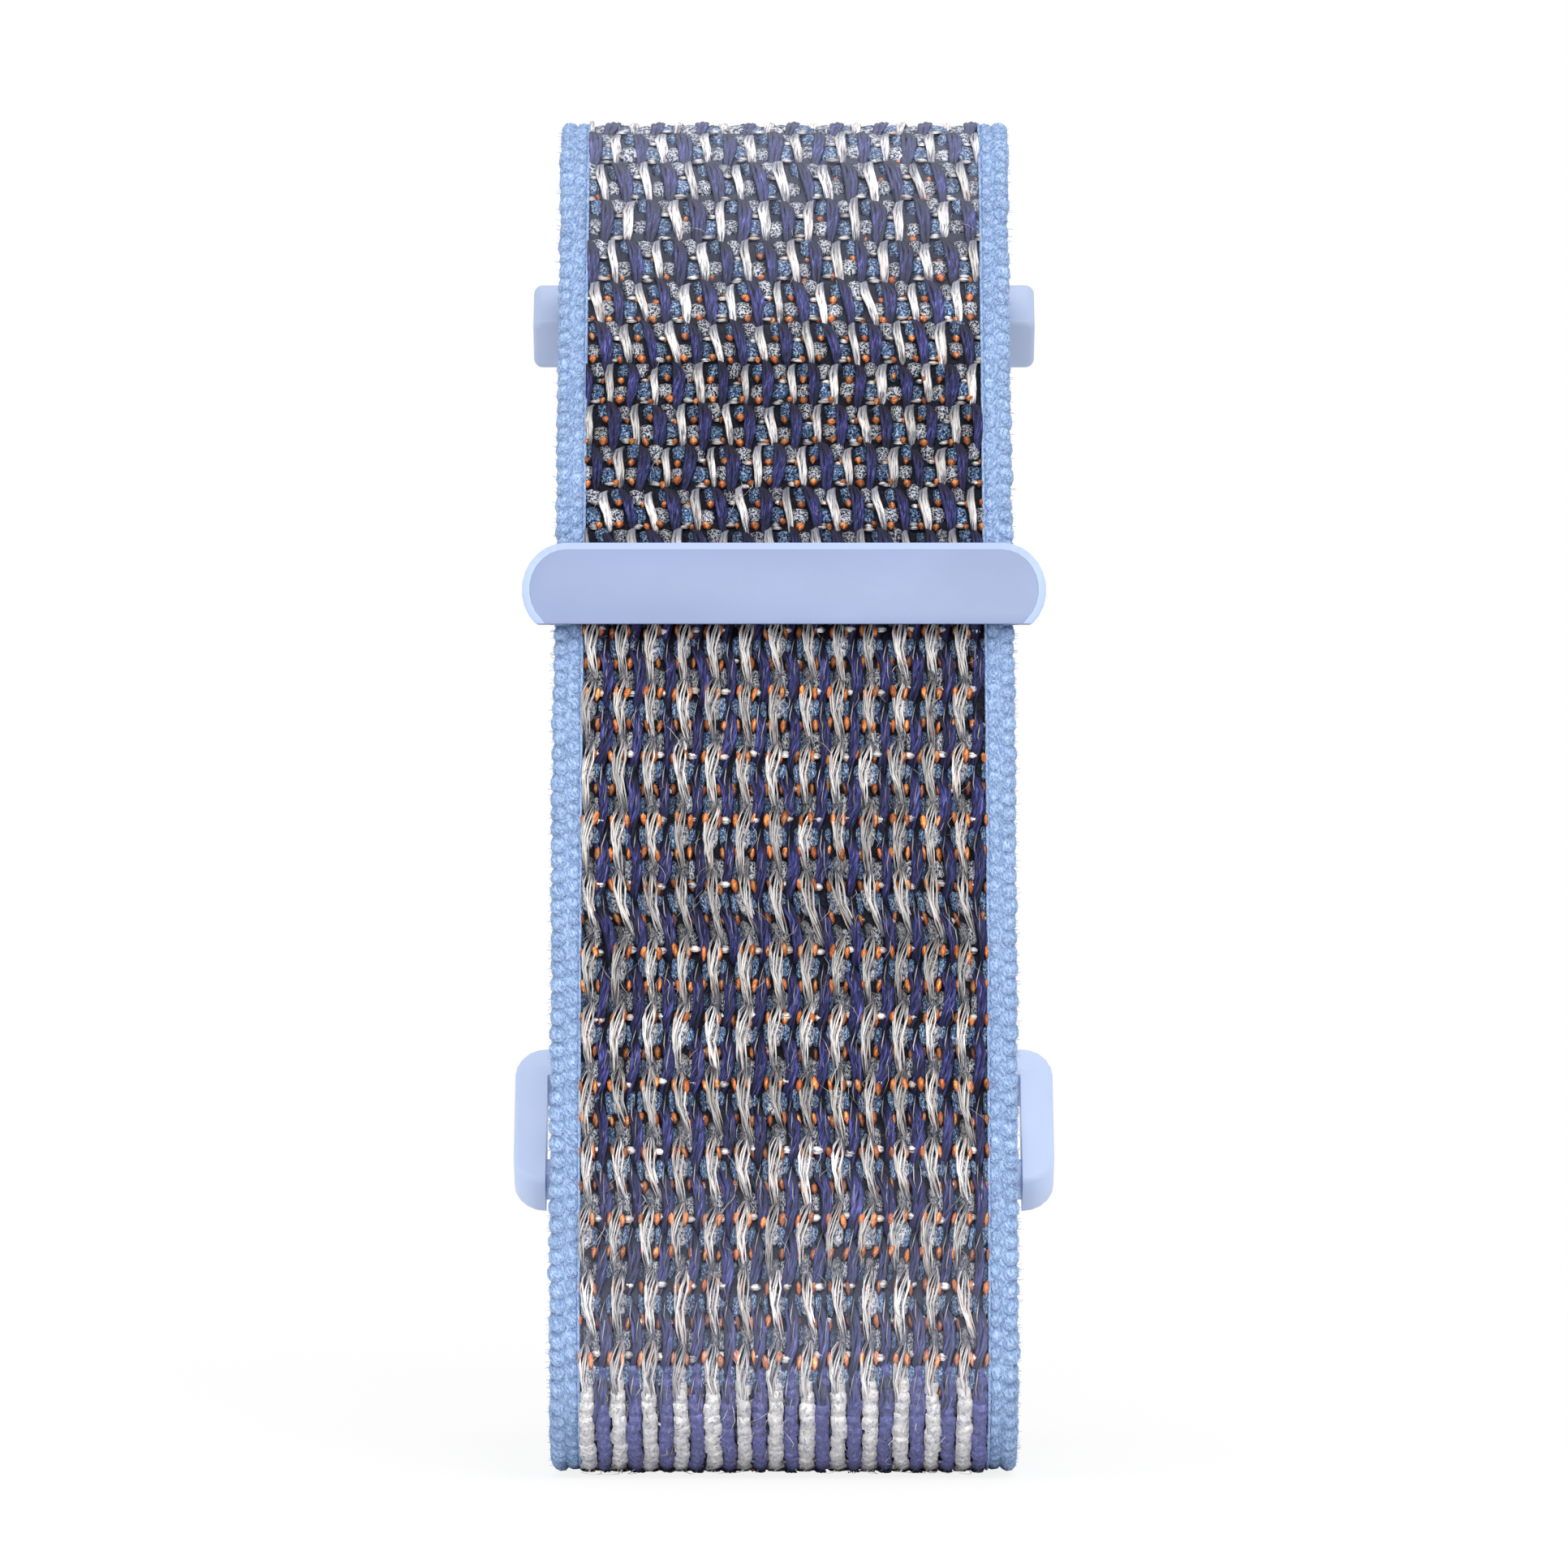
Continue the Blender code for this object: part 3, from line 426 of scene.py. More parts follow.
class Nodes:
    """Adds and joins the nodes of one tree."""

    def __init__(self, tree):
        self.tree = tree

    def add(self, kind, values=None, **settings):
        node = self.tree.nodes.new(kind)
        for name, value in settings.items():
            setattr(node, name, value)
        for name, value in (values or {}).items():
            socket = node.inputs[name]
            if isinstance(value, bpy.types.NodeSocket):
                self.tree.links.new(value, socket)
            else:
                socket.default_value = value
        return node

    def math(self, operation, first, second=0.0, third=0.0):
        settings = {0: first, 1: second, 2: third}
        return self.add("ShaderNodeMath", settings, operation=operation).outputs[0]

    def vector(self, operation, first, second):
        node = self.add("ShaderNodeVectorMath", {0: first, 1: second}, operation=operation)
        return node.outputs[0]

    def between(self, value, low, high, to_low=0.0, to_high=1.0):
        settings = {"Value": value, "From Min": low, "From Max": high}
        settings |= {"To Min": to_low, "To Max": to_high}
        return self.add("ShaderNodeMapRange", settings, clamp=True).outputs[0]

    def mix(self, share, first, second, blend="MIX"):
        node = self.add("ShaderNodeMix", data_type="RGBA", blend_type=blend)
        for socket, value in ((0, share), (6, first), (7, second)):
            if isinstance(value, bpy.types.NodeSocket):
                self.tree.links.new(value, node.inputs[socket])
            else:
                node.inputs[socket].default_value = value
        return node.outputs[2]

    def noise(self, vector, scale, detail=2.0, roughness=0.5):
        settings = {"Vector": vector, "Scale": scale, "Detail": detail, "Roughness": roughness}
        return self.add("ShaderNodeTexNoise", settings).outputs["Fac"]

    def attribute(self, name):
        return self.add("ShaderNodeAttribute", attribute_name=name).outputs["Vector"]

    def parts(self, vector):
        return self.add("ShaderNodeSeparateXYZ", {0: vector}).outputs

    def bump(self, height, strength, distance):
        settings = {"Height": height, "Strength": strength, "Distance": distance}
        return self.add("ShaderNodeBump", settings).outputs[0]


def group(name, inputs, outputs, build):
    """A node group with named sockets, built once."""
    tree = bpy.data.node_groups.get(name)
    if tree is None:
        tree = bpy.data.node_groups.new(name, "ShaderNodeTree")
        for kind, title, value in inputs:
            socket = tree.interface.new_socket(title, in_out="INPUT", socket_type=kind)
            if value is not None:
                socket.default_value = value
        for kind, title in outputs:
            tree.interface.new_socket(title, in_out="OUTPUT", socket_type=kind)
        nodes = Nodes(tree)
        source = nodes.add("NodeGroupInput").outputs
        sink = nodes.add("NodeGroupOutput")
        build(nodes, source, sink.inputs)
    return tree


def link(nodes, value, socket):
    nodes.tree.links.new(value, socket)


def build_streaks(nodes, source, sink):
    """Fine fibres that run along a strand with a slight twist."""
    x, y, z = nodes.parts(source["Fibre"])
    twisted = nodes.math("ADD", x, nodes.math("MULTIPLY", y, source["Twist"]))
    across = nodes.math("MULTIPLY", twisted, source["Fineness"])
    high = nodes.math("MULTIPLY", z, source["Fineness"])
    along = nodes.math("MULTIPLY", y, source["Run"])
    flow = nodes.add("ShaderNodeCombineXYZ", {0: across, 1: along, 2: high}).outputs[0]
    broad = nodes.noise(flow, 1.0, 1.0, 0.5)
    fine = nodes.noise(flow, 2.6, 1.0, 0.5)
    both = nodes.math("ADD", nodes.math("MULTIPLY", broad, 0.6), nodes.math("MULTIPLY", fine, 0.4))
    streak = nodes.between(both, 0.34, 0.66)
    link(nodes, streak, sink["Streak"])
    link(nodes, nodes.between(fine, 0.3, 0.7), sink["Fine"])


def streaks():
    inputs = (
        ("NodeSocketVector", "Fibre", None),
        ("NodeSocketFloat", "Fineness", 7.0),
        ("NodeSocketFloat", "Run", 0.9),
        ("NodeSocketFloat", "Twist", 0.15),
    )
    outputs = (("NodeSocketFloat", "Streak"), ("NodeSocketFloat", "Fine"))
    return group("Yarn Fibres", inputs, outputs, build_streaks)


def with_painted_light(nodes, colour):
    """The colour with painted light: paler where the weave turns away over the top and under the flap."""
    painted_light = nodes.parts(nodes.attribute("painted_light"))[0]
    # The pale bluish colour mixed in here is painted light
    return nodes.mix(painted_light, colour, linear(196, 202, 228))


def new_material(name):
    look = bpy.data.materials.new(name)
    look.use_nodes = True
    nodes = Nodes(look.node_tree)
    shader = look.node_tree.nodes["Principled BSDF"]
    return look, nodes, shader


def yarn(name, dark, middle, light, tint, fineness=7.0, run=0.9, twist=0.15, end_shade=0.0, painted_rim=None, painted_head_shade=None):
    """A yarn of fine fibres. It darkens towards both ends as painted shade where it goes under other yarns,
    tint colours some of its strands, and its lower sides and its upper end can take darker colours as painted
    shade."""
    found = bpy.data.materials.get(name)
    if found is not None:
        return found
    look, nodes, shader = new_material(name)
    share, rise, tone = nodes.parts(nodes.attribute("place"))
    fibre = nodes.attribute("fibre")
    fibres = nodes.add("ShaderNodeGroup", node_tree=streaks())
    link(nodes, fibre, fibres.inputs["Fibre"])
    for title, value in {"Fineness": fineness, "Run": run, "Twist": twist}.items():
        fibres.inputs[title].default_value = value
    streak, fine = fibres.outputs["Streak"], fibres.outputs["Fine"]
    # Painted shade: the ends of the yarn darken where it goes under the yarns across it
    ends = nodes.math("MAXIMUM", nodes.between(share, 0.3, 0.06), nodes.between(share, 0.6, 0.95))
    lit = nodes.math("SUBTRACT", streak, nodes.math("MULTIPLY", ends, end_shade))
    colour = nodes.mix(nodes.between(lit, 0.0, 0.5), dark, middle)
    colour = nodes.mix(nodes.between(lit, 0.5, 1.0), colour, light)
    patch = nodes.noise(fibre, 0.35, 1.0, 0.5)
    colour = nodes.mix(nodes.between(patch, 0.56, 0.72, 0.0, 0.6), colour, tint)
    # Painted shade: the lower sides of the yarn take the darker rim colour
    if painted_rim is not None:
        colour = nodes.mix(nodes.between(rise, 0.6, 0.9), painted_rim, colour)
    # Painted shade: the upper end, where the yarn goes under, takes the darker head colour
    if painted_head_shade is not None:
        colour = nodes.mix(nodes.between(share, 0.46, 0.2, 0.0, 0.85), colour, painted_head_shade)
    grey = nodes.add("ShaderNodeCombineColor", {0: tone, 1: tone, 2: tone}).outputs[0]
    colour = with_painted_light(nodes, nodes.mix(1.0, colour, grey, "MULTIPLY"))
    link(nodes, colour, shader.inputs["Base Color"])
    link(nodes, nodes.between(fine, 0.0, 1.0, 0.8, 0.5), shader.inputs["Roughness"])
    link(nodes, nodes.bump(streak, 0.7, 0.00007), shader.inputs["Normal"])
    shader.inputs["Specular IOR Level"].default_value = 0.3
    return look


def melange(name, blue, pale, dark, pale_share=0.5, dark_share=0.5, fineness=6.0):
    """A speckled yarn of short curly fibres in three colours."""
    found = bpy.data.materials.get(name)
    if found is not None:
        return found
    look, nodes, shader = new_material(name)
    tone = nodes.parts(nodes.attribute("place"))[2]
    fibre = nodes.attribute("fibre")
    swirl = nodes.vector("MULTIPLY", fibre, (fineness, fineness * 0.75, fineness))
    flecks = nodes.noise(swirl, 1.0, 2.0, 0.6)
    strokes = nodes.noise(nodes.vector("MULTIPLY", swirl, (1.3, -1.3, 1.3)), 1.0, 2.0, 0.6)
    pale_edge = 0.66 - 0.3 * pale_share
    dark_edge = 0.66 - 0.3 * dark_share
    colour = nodes.mix(nodes.between(flecks, pale_edge, pale_edge + 0.05), blue, pale)
    colour = nodes.mix(nodes.between(strokes, dark_edge, dark_edge + 0.05), colour, dark)
    grey = nodes.add("ShaderNodeCombineColor", {0: tone, 1: tone, 2: tone}).outputs[0]
    colour = with_painted_light(nodes, nodes.mix(1.0, colour, grey, "MULTIPLY"))
    link(nodes, colour, shader.inputs["Base Color"])
    link(nodes, nodes.between(flecks, 0.3, 0.7, 0.85, 0.6), shader.inputs["Roughness"])
    link(nodes, nodes.bump(nodes.math("SUBTRACT", flecks, strokes), 0.9, 0.00008), shader.inputs["Normal"])
    shader.inputs["Specular IOR Level"].default_value = 0.2
    return look


def colours():
    return bpy.context.scene.strap_colours


def sizes():
    return bpy.context.scene.strap_sizes


def shade(colour, factor):
    return [value * factor for value in colour[:3]] + [1.0]


def navy_yarn(name="Navy Yarn", painted_head_shade=None):
    navy = list(colours().navy) + [1.0]
    tint = linear(46, 46, 92)
    return yarn(name, shade(navy, 0.1), navy, linear(98, 100, 172), tint, 9.0, 0.8, 0.2, 0.5, None, painted_head_shade)


def white_yarn(name="White Yarn", painted_head_shade=None):
    white = list(colours().white) + [1.0]
    dark, light = linear(96, 97, 108), linear(255, 254, 250)
    return yarn(name, dark, white, light, linear(240, 212, 196), 9.0, 0.8, 0.1, 0.5, None, painted_head_shade)


def orange_yarn():
    orange = list(colours().orange) + [1.0]
    # The dark colour on the orange dots' lower sides is painted shade
    light, painted_rim = linear(255, 196, 124), linear(84, 32, 22)
    tint = linear(168, 74, 44)
    return yarn("Orange Yarn", shade(orange, 0.4), orange, light, tint, 7.0, 3.0, 0.3, 0.0, painted_rim)


def blue_melange():
    blue = list(colours().melange) + [1.0]
    return melange("Blue Melange Yarn", blue, linear(165, 190, 214), linear(14, 18, 42), 0.5, 0.5, 7.5)


def pale_melange():
    pale = linear(225, 226, 230)
    return melange("Pale Melange Yarn", linear(112, 124, 150), pale, linear(16, 18, 34), 0.75, 0.52, 7.5)


def grey_core():
    middle, dark = linear(140, 145, 162), linear(52, 58, 84)
    return melange("Grey Core Yarn", middle, linear(214, 212, 210), dark, 0.6, 0.4, 7.0)


def pale_stripe():
    middle, dark = linear(198, 195, 192), linear(156, 158, 172)
    return melange("Pale Stripe", middle, linear(222, 218, 208), dark, 0.6, 0.3, 4.0)


def navy_stripe():
    middle, dark = linear(66, 66, 128), linear(44, 44, 98)
    return melange("Navy Stripe", middle, linear(92, 96, 152), dark, 0.4, 0.4, 4.0)


# The ground cloth under the yarns: navy, made close to black as painted shade in the gaps between the yarns
def shaded_ground_cloth():
    return melange("Ground Weave With Painted Shade", linear(9, 10, 26), linear(20, 27, 52), linear(4, 4, 8), 0.4)


def edge_yarn():
    """The knitted edges: pale and fuzzy, with painted shade in the folds between the knots."""
    found = bpy.data.materials.get("Edge Yarn")
    if found is not None:
        return found
    look, nodes, shader = new_material("Edge Yarn")
    edge = list(colours().edge) + [1.0]
    light = linear(184, 209, 245)
    share, rise, tone = nodes.parts(nodes.attribute("place"))
    fibre = nodes.attribute("fibre")
    fibres = nodes.add("ShaderNodeGroup", node_tree=streaks())
    link(nodes, fibre, fibres.inputs["Fibre"])
    for title, value in {"Fineness": 9.0, "Run": 3.0, "Twist": 0.4}.items():
        fibres.inputs[title].default_value = value
    streak, fine = fibres.outputs["Streak"], fibres.outputs["Fine"]
    tuft = nodes.noise(fibre, 5.0, 2.0, 0.6)
    mixed = nodes.math("ADD", nodes.math("MULTIPLY", streak, 0.5), nodes.math("MULTIPLY", tuft, 0.5))
    colour = nodes.mix(nodes.between(mixed, 0.28, 0.72), shade(edge, 0.64), light)
    # Painted shade: the folds where one knot laps over the next are darkened
    lap = nodes.math("MULTIPLY", nodes.math("SUBTRACT", share, 0.5), nodes.math("SUBTRACT", rise, 0.5))
    fold = nodes.between(lap, -0.01, -0.15)
    colour = nodes.mix(nodes.math("MULTIPLY", fold, 0.85), colour, shade(edge, 0.4))
    grey = nodes.add("ShaderNodeCombineColor", {0: tone, 1: tone, 2: tone}).outputs[0]
    colour = nodes.mix(1.0, colour, grey, "MULTIPLY")
    link(nodes, colour, shader.inputs["Base Color"])
    link(nodes, nodes.between(fine, 0.0, 1.0, 0.9, 0.7), shader.inputs["Roughness"])
    link(nodes, nodes.bump(mixed, 0.9, 0.00012), shader.inputs["Normal"])
    shader.inputs["Specular IOR Level"].default_value = 0.2
    return look


# The weave


# The pitch of rows that the yarns below are drawn for, and the plain and the looped face's own
ROW = 1.58
ROW_A, ROW_B = 1.30, 1.80
CELL_A = 2.5
CELL_B = 1.667
SHIFT_A = -0.36
# How much every other row of the looped face differs
BANDS_B = 0.3

WHITE_A = (
    (0.14, -1.36, 0.48, 0.12, 0.10), (-0.03, -0.95, 0.76, 0.25, 0.18), (-0.07, -0.25, 0.84, 0.33, 0.20),
    (-0.01, 0.75, 0.75, 0.30, 0.18), (0.06, 1.50, 0.58, 0.23, 0.14), (0.09, 2.05, 0.40, 0.14, 0.08),
)
NAVY_A = (
    (-0.30, -1.45, 0.45, 0.12, 0.10), (-0.10, -1.02, 0.75, 0.25, 0.18), (0.04, -0.30, 0.84, 0.33, 0.20),
    (0.03, 0.85, 0.75, 0.31, 0.18), (0.01, 1.75, 0.60, 0.27, 0.15), (0.00, 2.45, 0.40, 0.16, 0.08),
)
WHITE_B = (
    (0.12, -0.85, 0.45, 0.16, 0.10), (0.00, -0.40, 0.76, 0.40, 0.18), (-0.08, 0.15, 0.84, 0.48, 0.20),
    (-0.11, 0.90, 0.81, 0.41, 0.19), (0.02, 1.75, 0.70, 0.29, 0.17), (0.25, 2.65, 0.42, 0.16, 0.08),
)
NAVY_B = (
    (-0.16, -0.90, 0.45, 0.16, 0.10), (-0.06, -0.40, 0.73, 0.28, 0.17), (0.07, 0.20, 0.80, 0.31, 0.19),
    (0.03, 1.05, 0.75, 0.28, 0.17), (-0.13, 1.95, 0.56, 0.23, 0.13), (-0.10, 2.50, 0.38, 0.13, 0.08),
)
GLINT = (
    (0.08, -0.75, 0.00, 0.02, 0.02), (0.02, -0.35, 0.12, 0.035, 0.03), (-0.05, 0.20, 0.14, 0.035, 0.03),
    (0.04, 0.75, 0.00, 0.02, 0.02),
)
DOT = (
    (0, -0.30, 0.0, 0.07, 0.07), (0, -0.17, 0.05, 0.18, 0.16), (0, 0.10, 0.06, 0.19, 0.17),
    (0, 0.32, 0.0, 0.08, 0.07),
)
BLOB = (
    (0, -0.66, -0.10, 0.24, 0.12), (0, -0.44, 0.03, 0.42, 0.22), (0.01, 0.00, 0.06, 0.46, 0.25),
    (0, 0.44, 0.03, 0.41, 0.22), (0, 0.66, -0.10, 0.23, 0.12),
)
BIT = ((0, -0.24, 0.0, 0.05, 0.05), (0, -0.08, 0.03, 0.11, 0.10), (0, 0.10, 0.03, 0.11, 0.10), (0, 0.24, 0.0, 0.05, 0.05))
HAIR = (
    ((0.0, -1.0, -0.1, 0.022, 0.022), (0.22, -0.5, 0.1, 0.022, 0.022), (0.30, 0.1, 0.14, 0.02, 0.02),
     (0.12, 0.6, 0.12, 0.02, 0.02), (-0.1, 1.0, -0.1, 0.016, 0.016)),
    ((0.1, -0.8, -0.1, 0.022, 0.022), (-0.12, -0.3, 0.08, 0.022, 0.022), (-0.2, 0.1, 0.12, 0.02, 0.02),
     (0.0, 0.5, 0.1, 0.018, 0.018), (0.3, 0.7, 0.02, 0.014, 0.014)),
    ((0.0, -0.6, -0.05, 0.022, 0.022), (0.1, -0.2, 0.12, 0.02, 0.02), (-0.15, 0.3, 0.16, 0.02, 0.02),
     (-0.5, 0.55, 0.1, 0.018, 0.018), (-0.7, 0.6, 0.0, 0.012, 0.012)),
)

# Yarn, material, across and along in cells and rows, height, scales across and along, tone; the yarns that
# lie deeper mostly get lower tones, as painted shade
FACE_A = (
    ("white_a", "white_shaded_head", 0.0, 0.0, 0.0, 0.95, 1.0, 1.12),
    ("navy_a", "navy_shaded_head", 0.5, 0.0, 0.03, 1.2, 1.0, 0.9),
    ("blob", "blue", -0.26, 0.5, 0.50, 1.05, 1.0, 0.82),
    ("blob", "pale", 0.25, 0.5, 0.50, 1.02, 0.9, 0.7),
    ("blob", "blue", 0.30, -0.5, 0.48, 0.9, 0.92, 0.75),
    ("blob", "pale", -0.28, -0.5, 0.48, 0.9, 0.95, 0.7),
    ("cross", "white", -0.20, 0.02, 0.66, 1.1, 1.4, 1.0),
    ("cross", "white", -0.24, 1.0, 0.66, 1.0, 1.3, 0.85),
    ("cross", "white", 0.13, -0.90, 0.70, 1.2, 1.2, 0.85),
    ("dot", "orange", 0.27, 0.0, 0.70, 1.2, 0.9, 0.95),
    ("dot", "orange", -0.13, 0.0, 0.62, 0.85, 0.75, 0.7),
    ("dot", "orange", 0.26, 1.0, 0.70, 1.25, 0.95, 0.95),
    ("dot", "orange", -0.11, 1.0, 0.66, 0.95, 0.85, 0.85),
)
FACE_B = (
    ("white_b", "white", 0.0, 0.0, 0.03, 0.86, 1.0, 1.05),
    ("navy_b", "navy", 0.5, 1.0, 0.05, 1.4, 1.0, 0.95),
    ("blob", "grey", 0.0, 0.45, 0.60, 0.92, 0.95, 0.85),
    ("blob", "grey", 0.02, 1.40, 0.42, 0.7, 0.9, 0.4),
    ("dot", "orange", 0.21, 0.0, 0.80, 0.95, 1.1, 1.3),
    ("dot", "orange", -0.24, 0.0, 0.78, 0.95, 1.1, 1.25),
    ("dot", "orange", 0.26, 1.0, 0.72, 0.95, 1.05, 1.1),
    ("dot", "orange", -0.25, 1.0, 0.70, 0.95, 1.05, 1.0),
    ("blob", "blue", 0.29, 0.5, 0.54, 0.45, 0.85, 1.0),
    ("blob", "blue", -0.29, 0.5, 0.52, 0.45, 0.85, 0.95),
    ("blob", "pale", 0.28, 1.5, 0.42, 0.6, 0.85, 0.65),
    ("blob", "blue", -0.27, 1.5, 0.42, 0.5, 0.8, 0.6),
    ("glint", "white", 0.44, 0.75, 0.87, 1.0, 0.9, 0.65),
    ("glint", "white", 0.56, 1.25, 0.86, 1.0, 1.1, 0.5),
    ("cross", "white", 0.34, -0.05, 0.74, 1.2, 1.5, 1.1),
    ("cross", "white", -0.36, 1.0, 0.66, 0.9, 1.2, 0.85),
)
# Side, yarns, cell, shift of each row, pitch of the rows and difference between them
PLAIN_FACE = (1, FACE_A, CELL_A, SHIFT_A, ROW_A, 0.0)
LOOPED_FACE = (-1, FACE_B, CELL_B, 0.0, ROW_B, BANDS_B)

# How far above the floor the flap's yarns turn to smooth stripes, and over what height
STRIPE_HEIGHT, STRIPE_FADE, STRIPE_PITCH = 6.6, 2.6, 0.62
STRIPE_BACK = -17.0
# How high the weave starts to pale and brighten as painted light, over what height, by how much it pales and
# how much brighter its tones get, then the same near the floor
TOP_ZONE_HEIGHT, TOP_PAINTED_LIGHT_SPAN, TOP_PAINTED_LIGHT, TOP_PAINTED_GLOW = 60.0, 13.0, 0.17, 0.35
LOW_PAINTED_LIGHT_HEIGHT, LOW_PAINTED_LIGHT_SPAN, LOW_PAINTED_LIGHT, LOW_PAINTED_GLOW = 20.0, 14.0, 0.15, 0.17
# Where the strap turns over the top and its yarns lie flatter
TOP_CREST_HEIGHT = 71.5
# How much lighter or darker than its yarn a single ply of each look is
PLY_TONES = {
    "navy": (0.5, 1.3), "navy_shaded_head": (0.6, 1.3), "white": (0.68, 1.05), "white_shaded_head": (0.72, 1.05), "orange": (0.9, 1.1),
}


def lattice(face, cell, shift, pitch, bands, length, rng):
    """The rows of every kind of yarn on one face, over a length of strap. By bands, every other
    row has more white and less orange."""
    count = math.ceil(length / (2 * pitch)) + 3
    across = math.ceil(2 * PANEL_HALF / cell) + 2
    i, j = np.meshgrid(np.arange(-2, count), np.arange(-1, across), indexing="ij")
    x = ((j + (i * shift) % 1.0) * cell - PANEL_HALF + 0.35).ravel()
    s = (i * 2 * pitch).ravel().astype(float)
    sway = rng.normal(0, 1, (3, count + 2))[:, (i + 2).ravel()]
    made = []
    for yarn_name, look, dx, ds, height, wide, long, tone in face:
        n = len(x)
        rows = np.empty((n, 8))
        loose = 1.8 if look == "orange" else 1.0
        rows[:, 0] = x + dx * cell + rng.normal(0, 0.045 * loose, n) + sway[0] * 0.05
        rows[:, 1] = s + ds * pitch + rng.normal(0, 0.07, n)
        rows[:, 2] = height + rng.normal(0, 0.03 * loose, n)
        rows[:, 3] = wide * rng.uniform(1 - 0.18 * loose, 1.15, n)
        rows[:, 4] = long * pitch / ROW * rng.uniform(1 - 0.1 * loose, 1.12, n)
        rows[:, 5] = rng.uniform(0.94, 1.04, n)
        rows[:, 6] = rng.normal(0, 0.06 * loose, n) + sway[1] * 0.06
        rows[:, 7] = tone * rng.uniform(1 - 0.28 * loose, 1 + 0.15 * loose, n) * (1 + sway[2] * 0.07)
        odd = (i % 2).ravel()
        if look == "orange":
            rows[:, 7] *= 1 - odd * bands * 1.2
            rows[:, 2] -= odd * bands * 0.4
        elif look == "white":
            rows[:, 7] *= 1 + (odd - 0.6) * bands * 0.6
        made.append((yarn_name, look, rows))
    return made


class Weave:
    """Both faces of the webbing as rows of yarns, ready to be cut into stretches."""

    def __init__(self, route, faces=(PLAIN_FACE, LOOPED_FACE)):
        self.route = route
        rng = self.rng = np.random.default_rng(SEED)
        quarter = math.pi / 2
        self.yarns = {
            "white_a": plies("white_a", WHITE_A, 4, 0.1, 0.25, rng),
            "navy_a": plies("navy_a", NAVY_A, 4, 0.11, 0.2, rng),
            "white_b": plies("white_b", WHITE_B, 6, 0.058, 0.35, rng),
            "navy_b": plies("navy_b", NAVY_B, 4, 0.1, 0.3, rng),
            "dot": [strand("dot", DOT, 5)],
            "blob": [strand("blob", BLOB, 5)],
            "cross": [strand("cross", BIT, 4, quarter)],
            "glint": [strand("glint", GLINT, 3)],
        }
        self.looks = {
            "white": white_yarn(), "navy": navy_yarn(), "orange": orange_yarn(),
            # These two yarns have painted shade on their upper ends
            "white_shaded_head": white_yarn("White Yarn With Painted Head Shade", linear(128, 131, 142)),
            "navy_shaded_head": navy_yarn("Navy Yarn With Painted Head Shade", linear(30, 27, 52)),
            "blue": blue_melange(), "pale": pale_melange(), "grey": grey_core(),
            "pale_stripe": pale_stripe(), "navy_stripe": navy_stripe(),
        }
        length = route.lengths[-1]
        self.faces = [(side, lattice(*rest, length, rng)) for side, *rest in faces]
        for side, kinds in self.faces:
            for yarn_name, look, rows in kinds:
                if side < 0:
                    rows[:, 1] = length - rows[:, 1]
                self.settle(rows, look, side)
            kinds += self.stray_hairs(side, length)
            if side < 0 and route is ROUTE:
                kinds += self.stripes(length)

    def smoothness(self, lengths):
        """How far the looped face has turned to stripes: all of it where the flap turns under."""
        point = self.route.at(lengths)[0]
        low = np.clip((STRIPE_HEIGHT - point[:, 1]) / STRIPE_FADE, 0, 1)
        return low * np.clip((STRIPE_BACK - point[:, 0]) / 2, 0, 1)

    def settle(self, rows, look, side):
        """Flatter yarns over the top of the loop, and no orange there or in the stripes."""
        level = self.route.at(rows[:, 1])[0][:, 1]
        crest = np.clip((level - TOP_CREST_HEIGHT) / 1.5, 0, 1) if side > 0 else level * 0
        rows[:, 2] -= crest * 0.05
        rows[:, 5] *= 1 - crest * 0.15
        if look in ("blue", "pale"):
            rows[:, 3] *= 1 + crest * 0.35
            rows[:, 4] *= 1 + crest * 0.25
        high = np.clip((level - TOP_ZONE_HEIGHT) / 8, 0, 1) * (side > 0)
        rows[:, 3] *= 1 + high * 0.16
        smooth = self.smoothness(rows[:, 1]) if side < 0 else level * 0
        rows[:, 2] -= smooth * 0.1
        # Painted light: the yarns that turn to stripes near the floor get brighter tones
        rows[:, 7] *= 1 + smooth * 0.2
        if look == "orange":
            rows[:, 2] -= np.maximum(smooth, high * self.rng.uniform(0.6, 1.2, len(rows))) * 0.6

    def stripes(self, length):
        """Rows of soft beads that run together into pale and navy stripes."""
        made = []
        spots = np.arange(0, length, STRIPE_PITCH)
        smooth = self.smoothness(spots)
        spots, smooth = spots[smooth > 0.05], smooth[smooth > 0.05]
        across = math.ceil(2 * PANEL_HALF / CELL_B) + 2
        for look, offset, wide in (("pale_stripe", 0.0, 0.98), ("navy_stripe", 0.5, 0.9)):
            for j in range(-1, across):
                rows = np.empty((len(spots), 8))
                phase = self.rng.uniform(0, 6)
                wave = 0.05 * np.sin(spots * 1.1 + phase) + self.rng.normal(0, 0.03, len(spots))
                rows[:, 0] = (j + offset) * CELL_B - PANEL_HALF + 0.35 + wave
                rows[:, 1] = spots + self.rng.normal(0, 0.08, len(spots))
                rows[:, 2] = 0.36 + smooth * 0.40
                rows[:, 3] = wide * self.rng.uniform(0.85, 1.08, len(spots))
                rows[:, 4] = self.rng.uniform(0.75, 1.0, len(spots))
                rows[:, 5] = 1.0
                rows[:, 6] = self.rng.normal(0, 0.08, len(spots))
                rows[:, 7] = self.rng.uniform(0.88, 1.1, len(spots))
                made.append(("blob", look, rows))
        return made

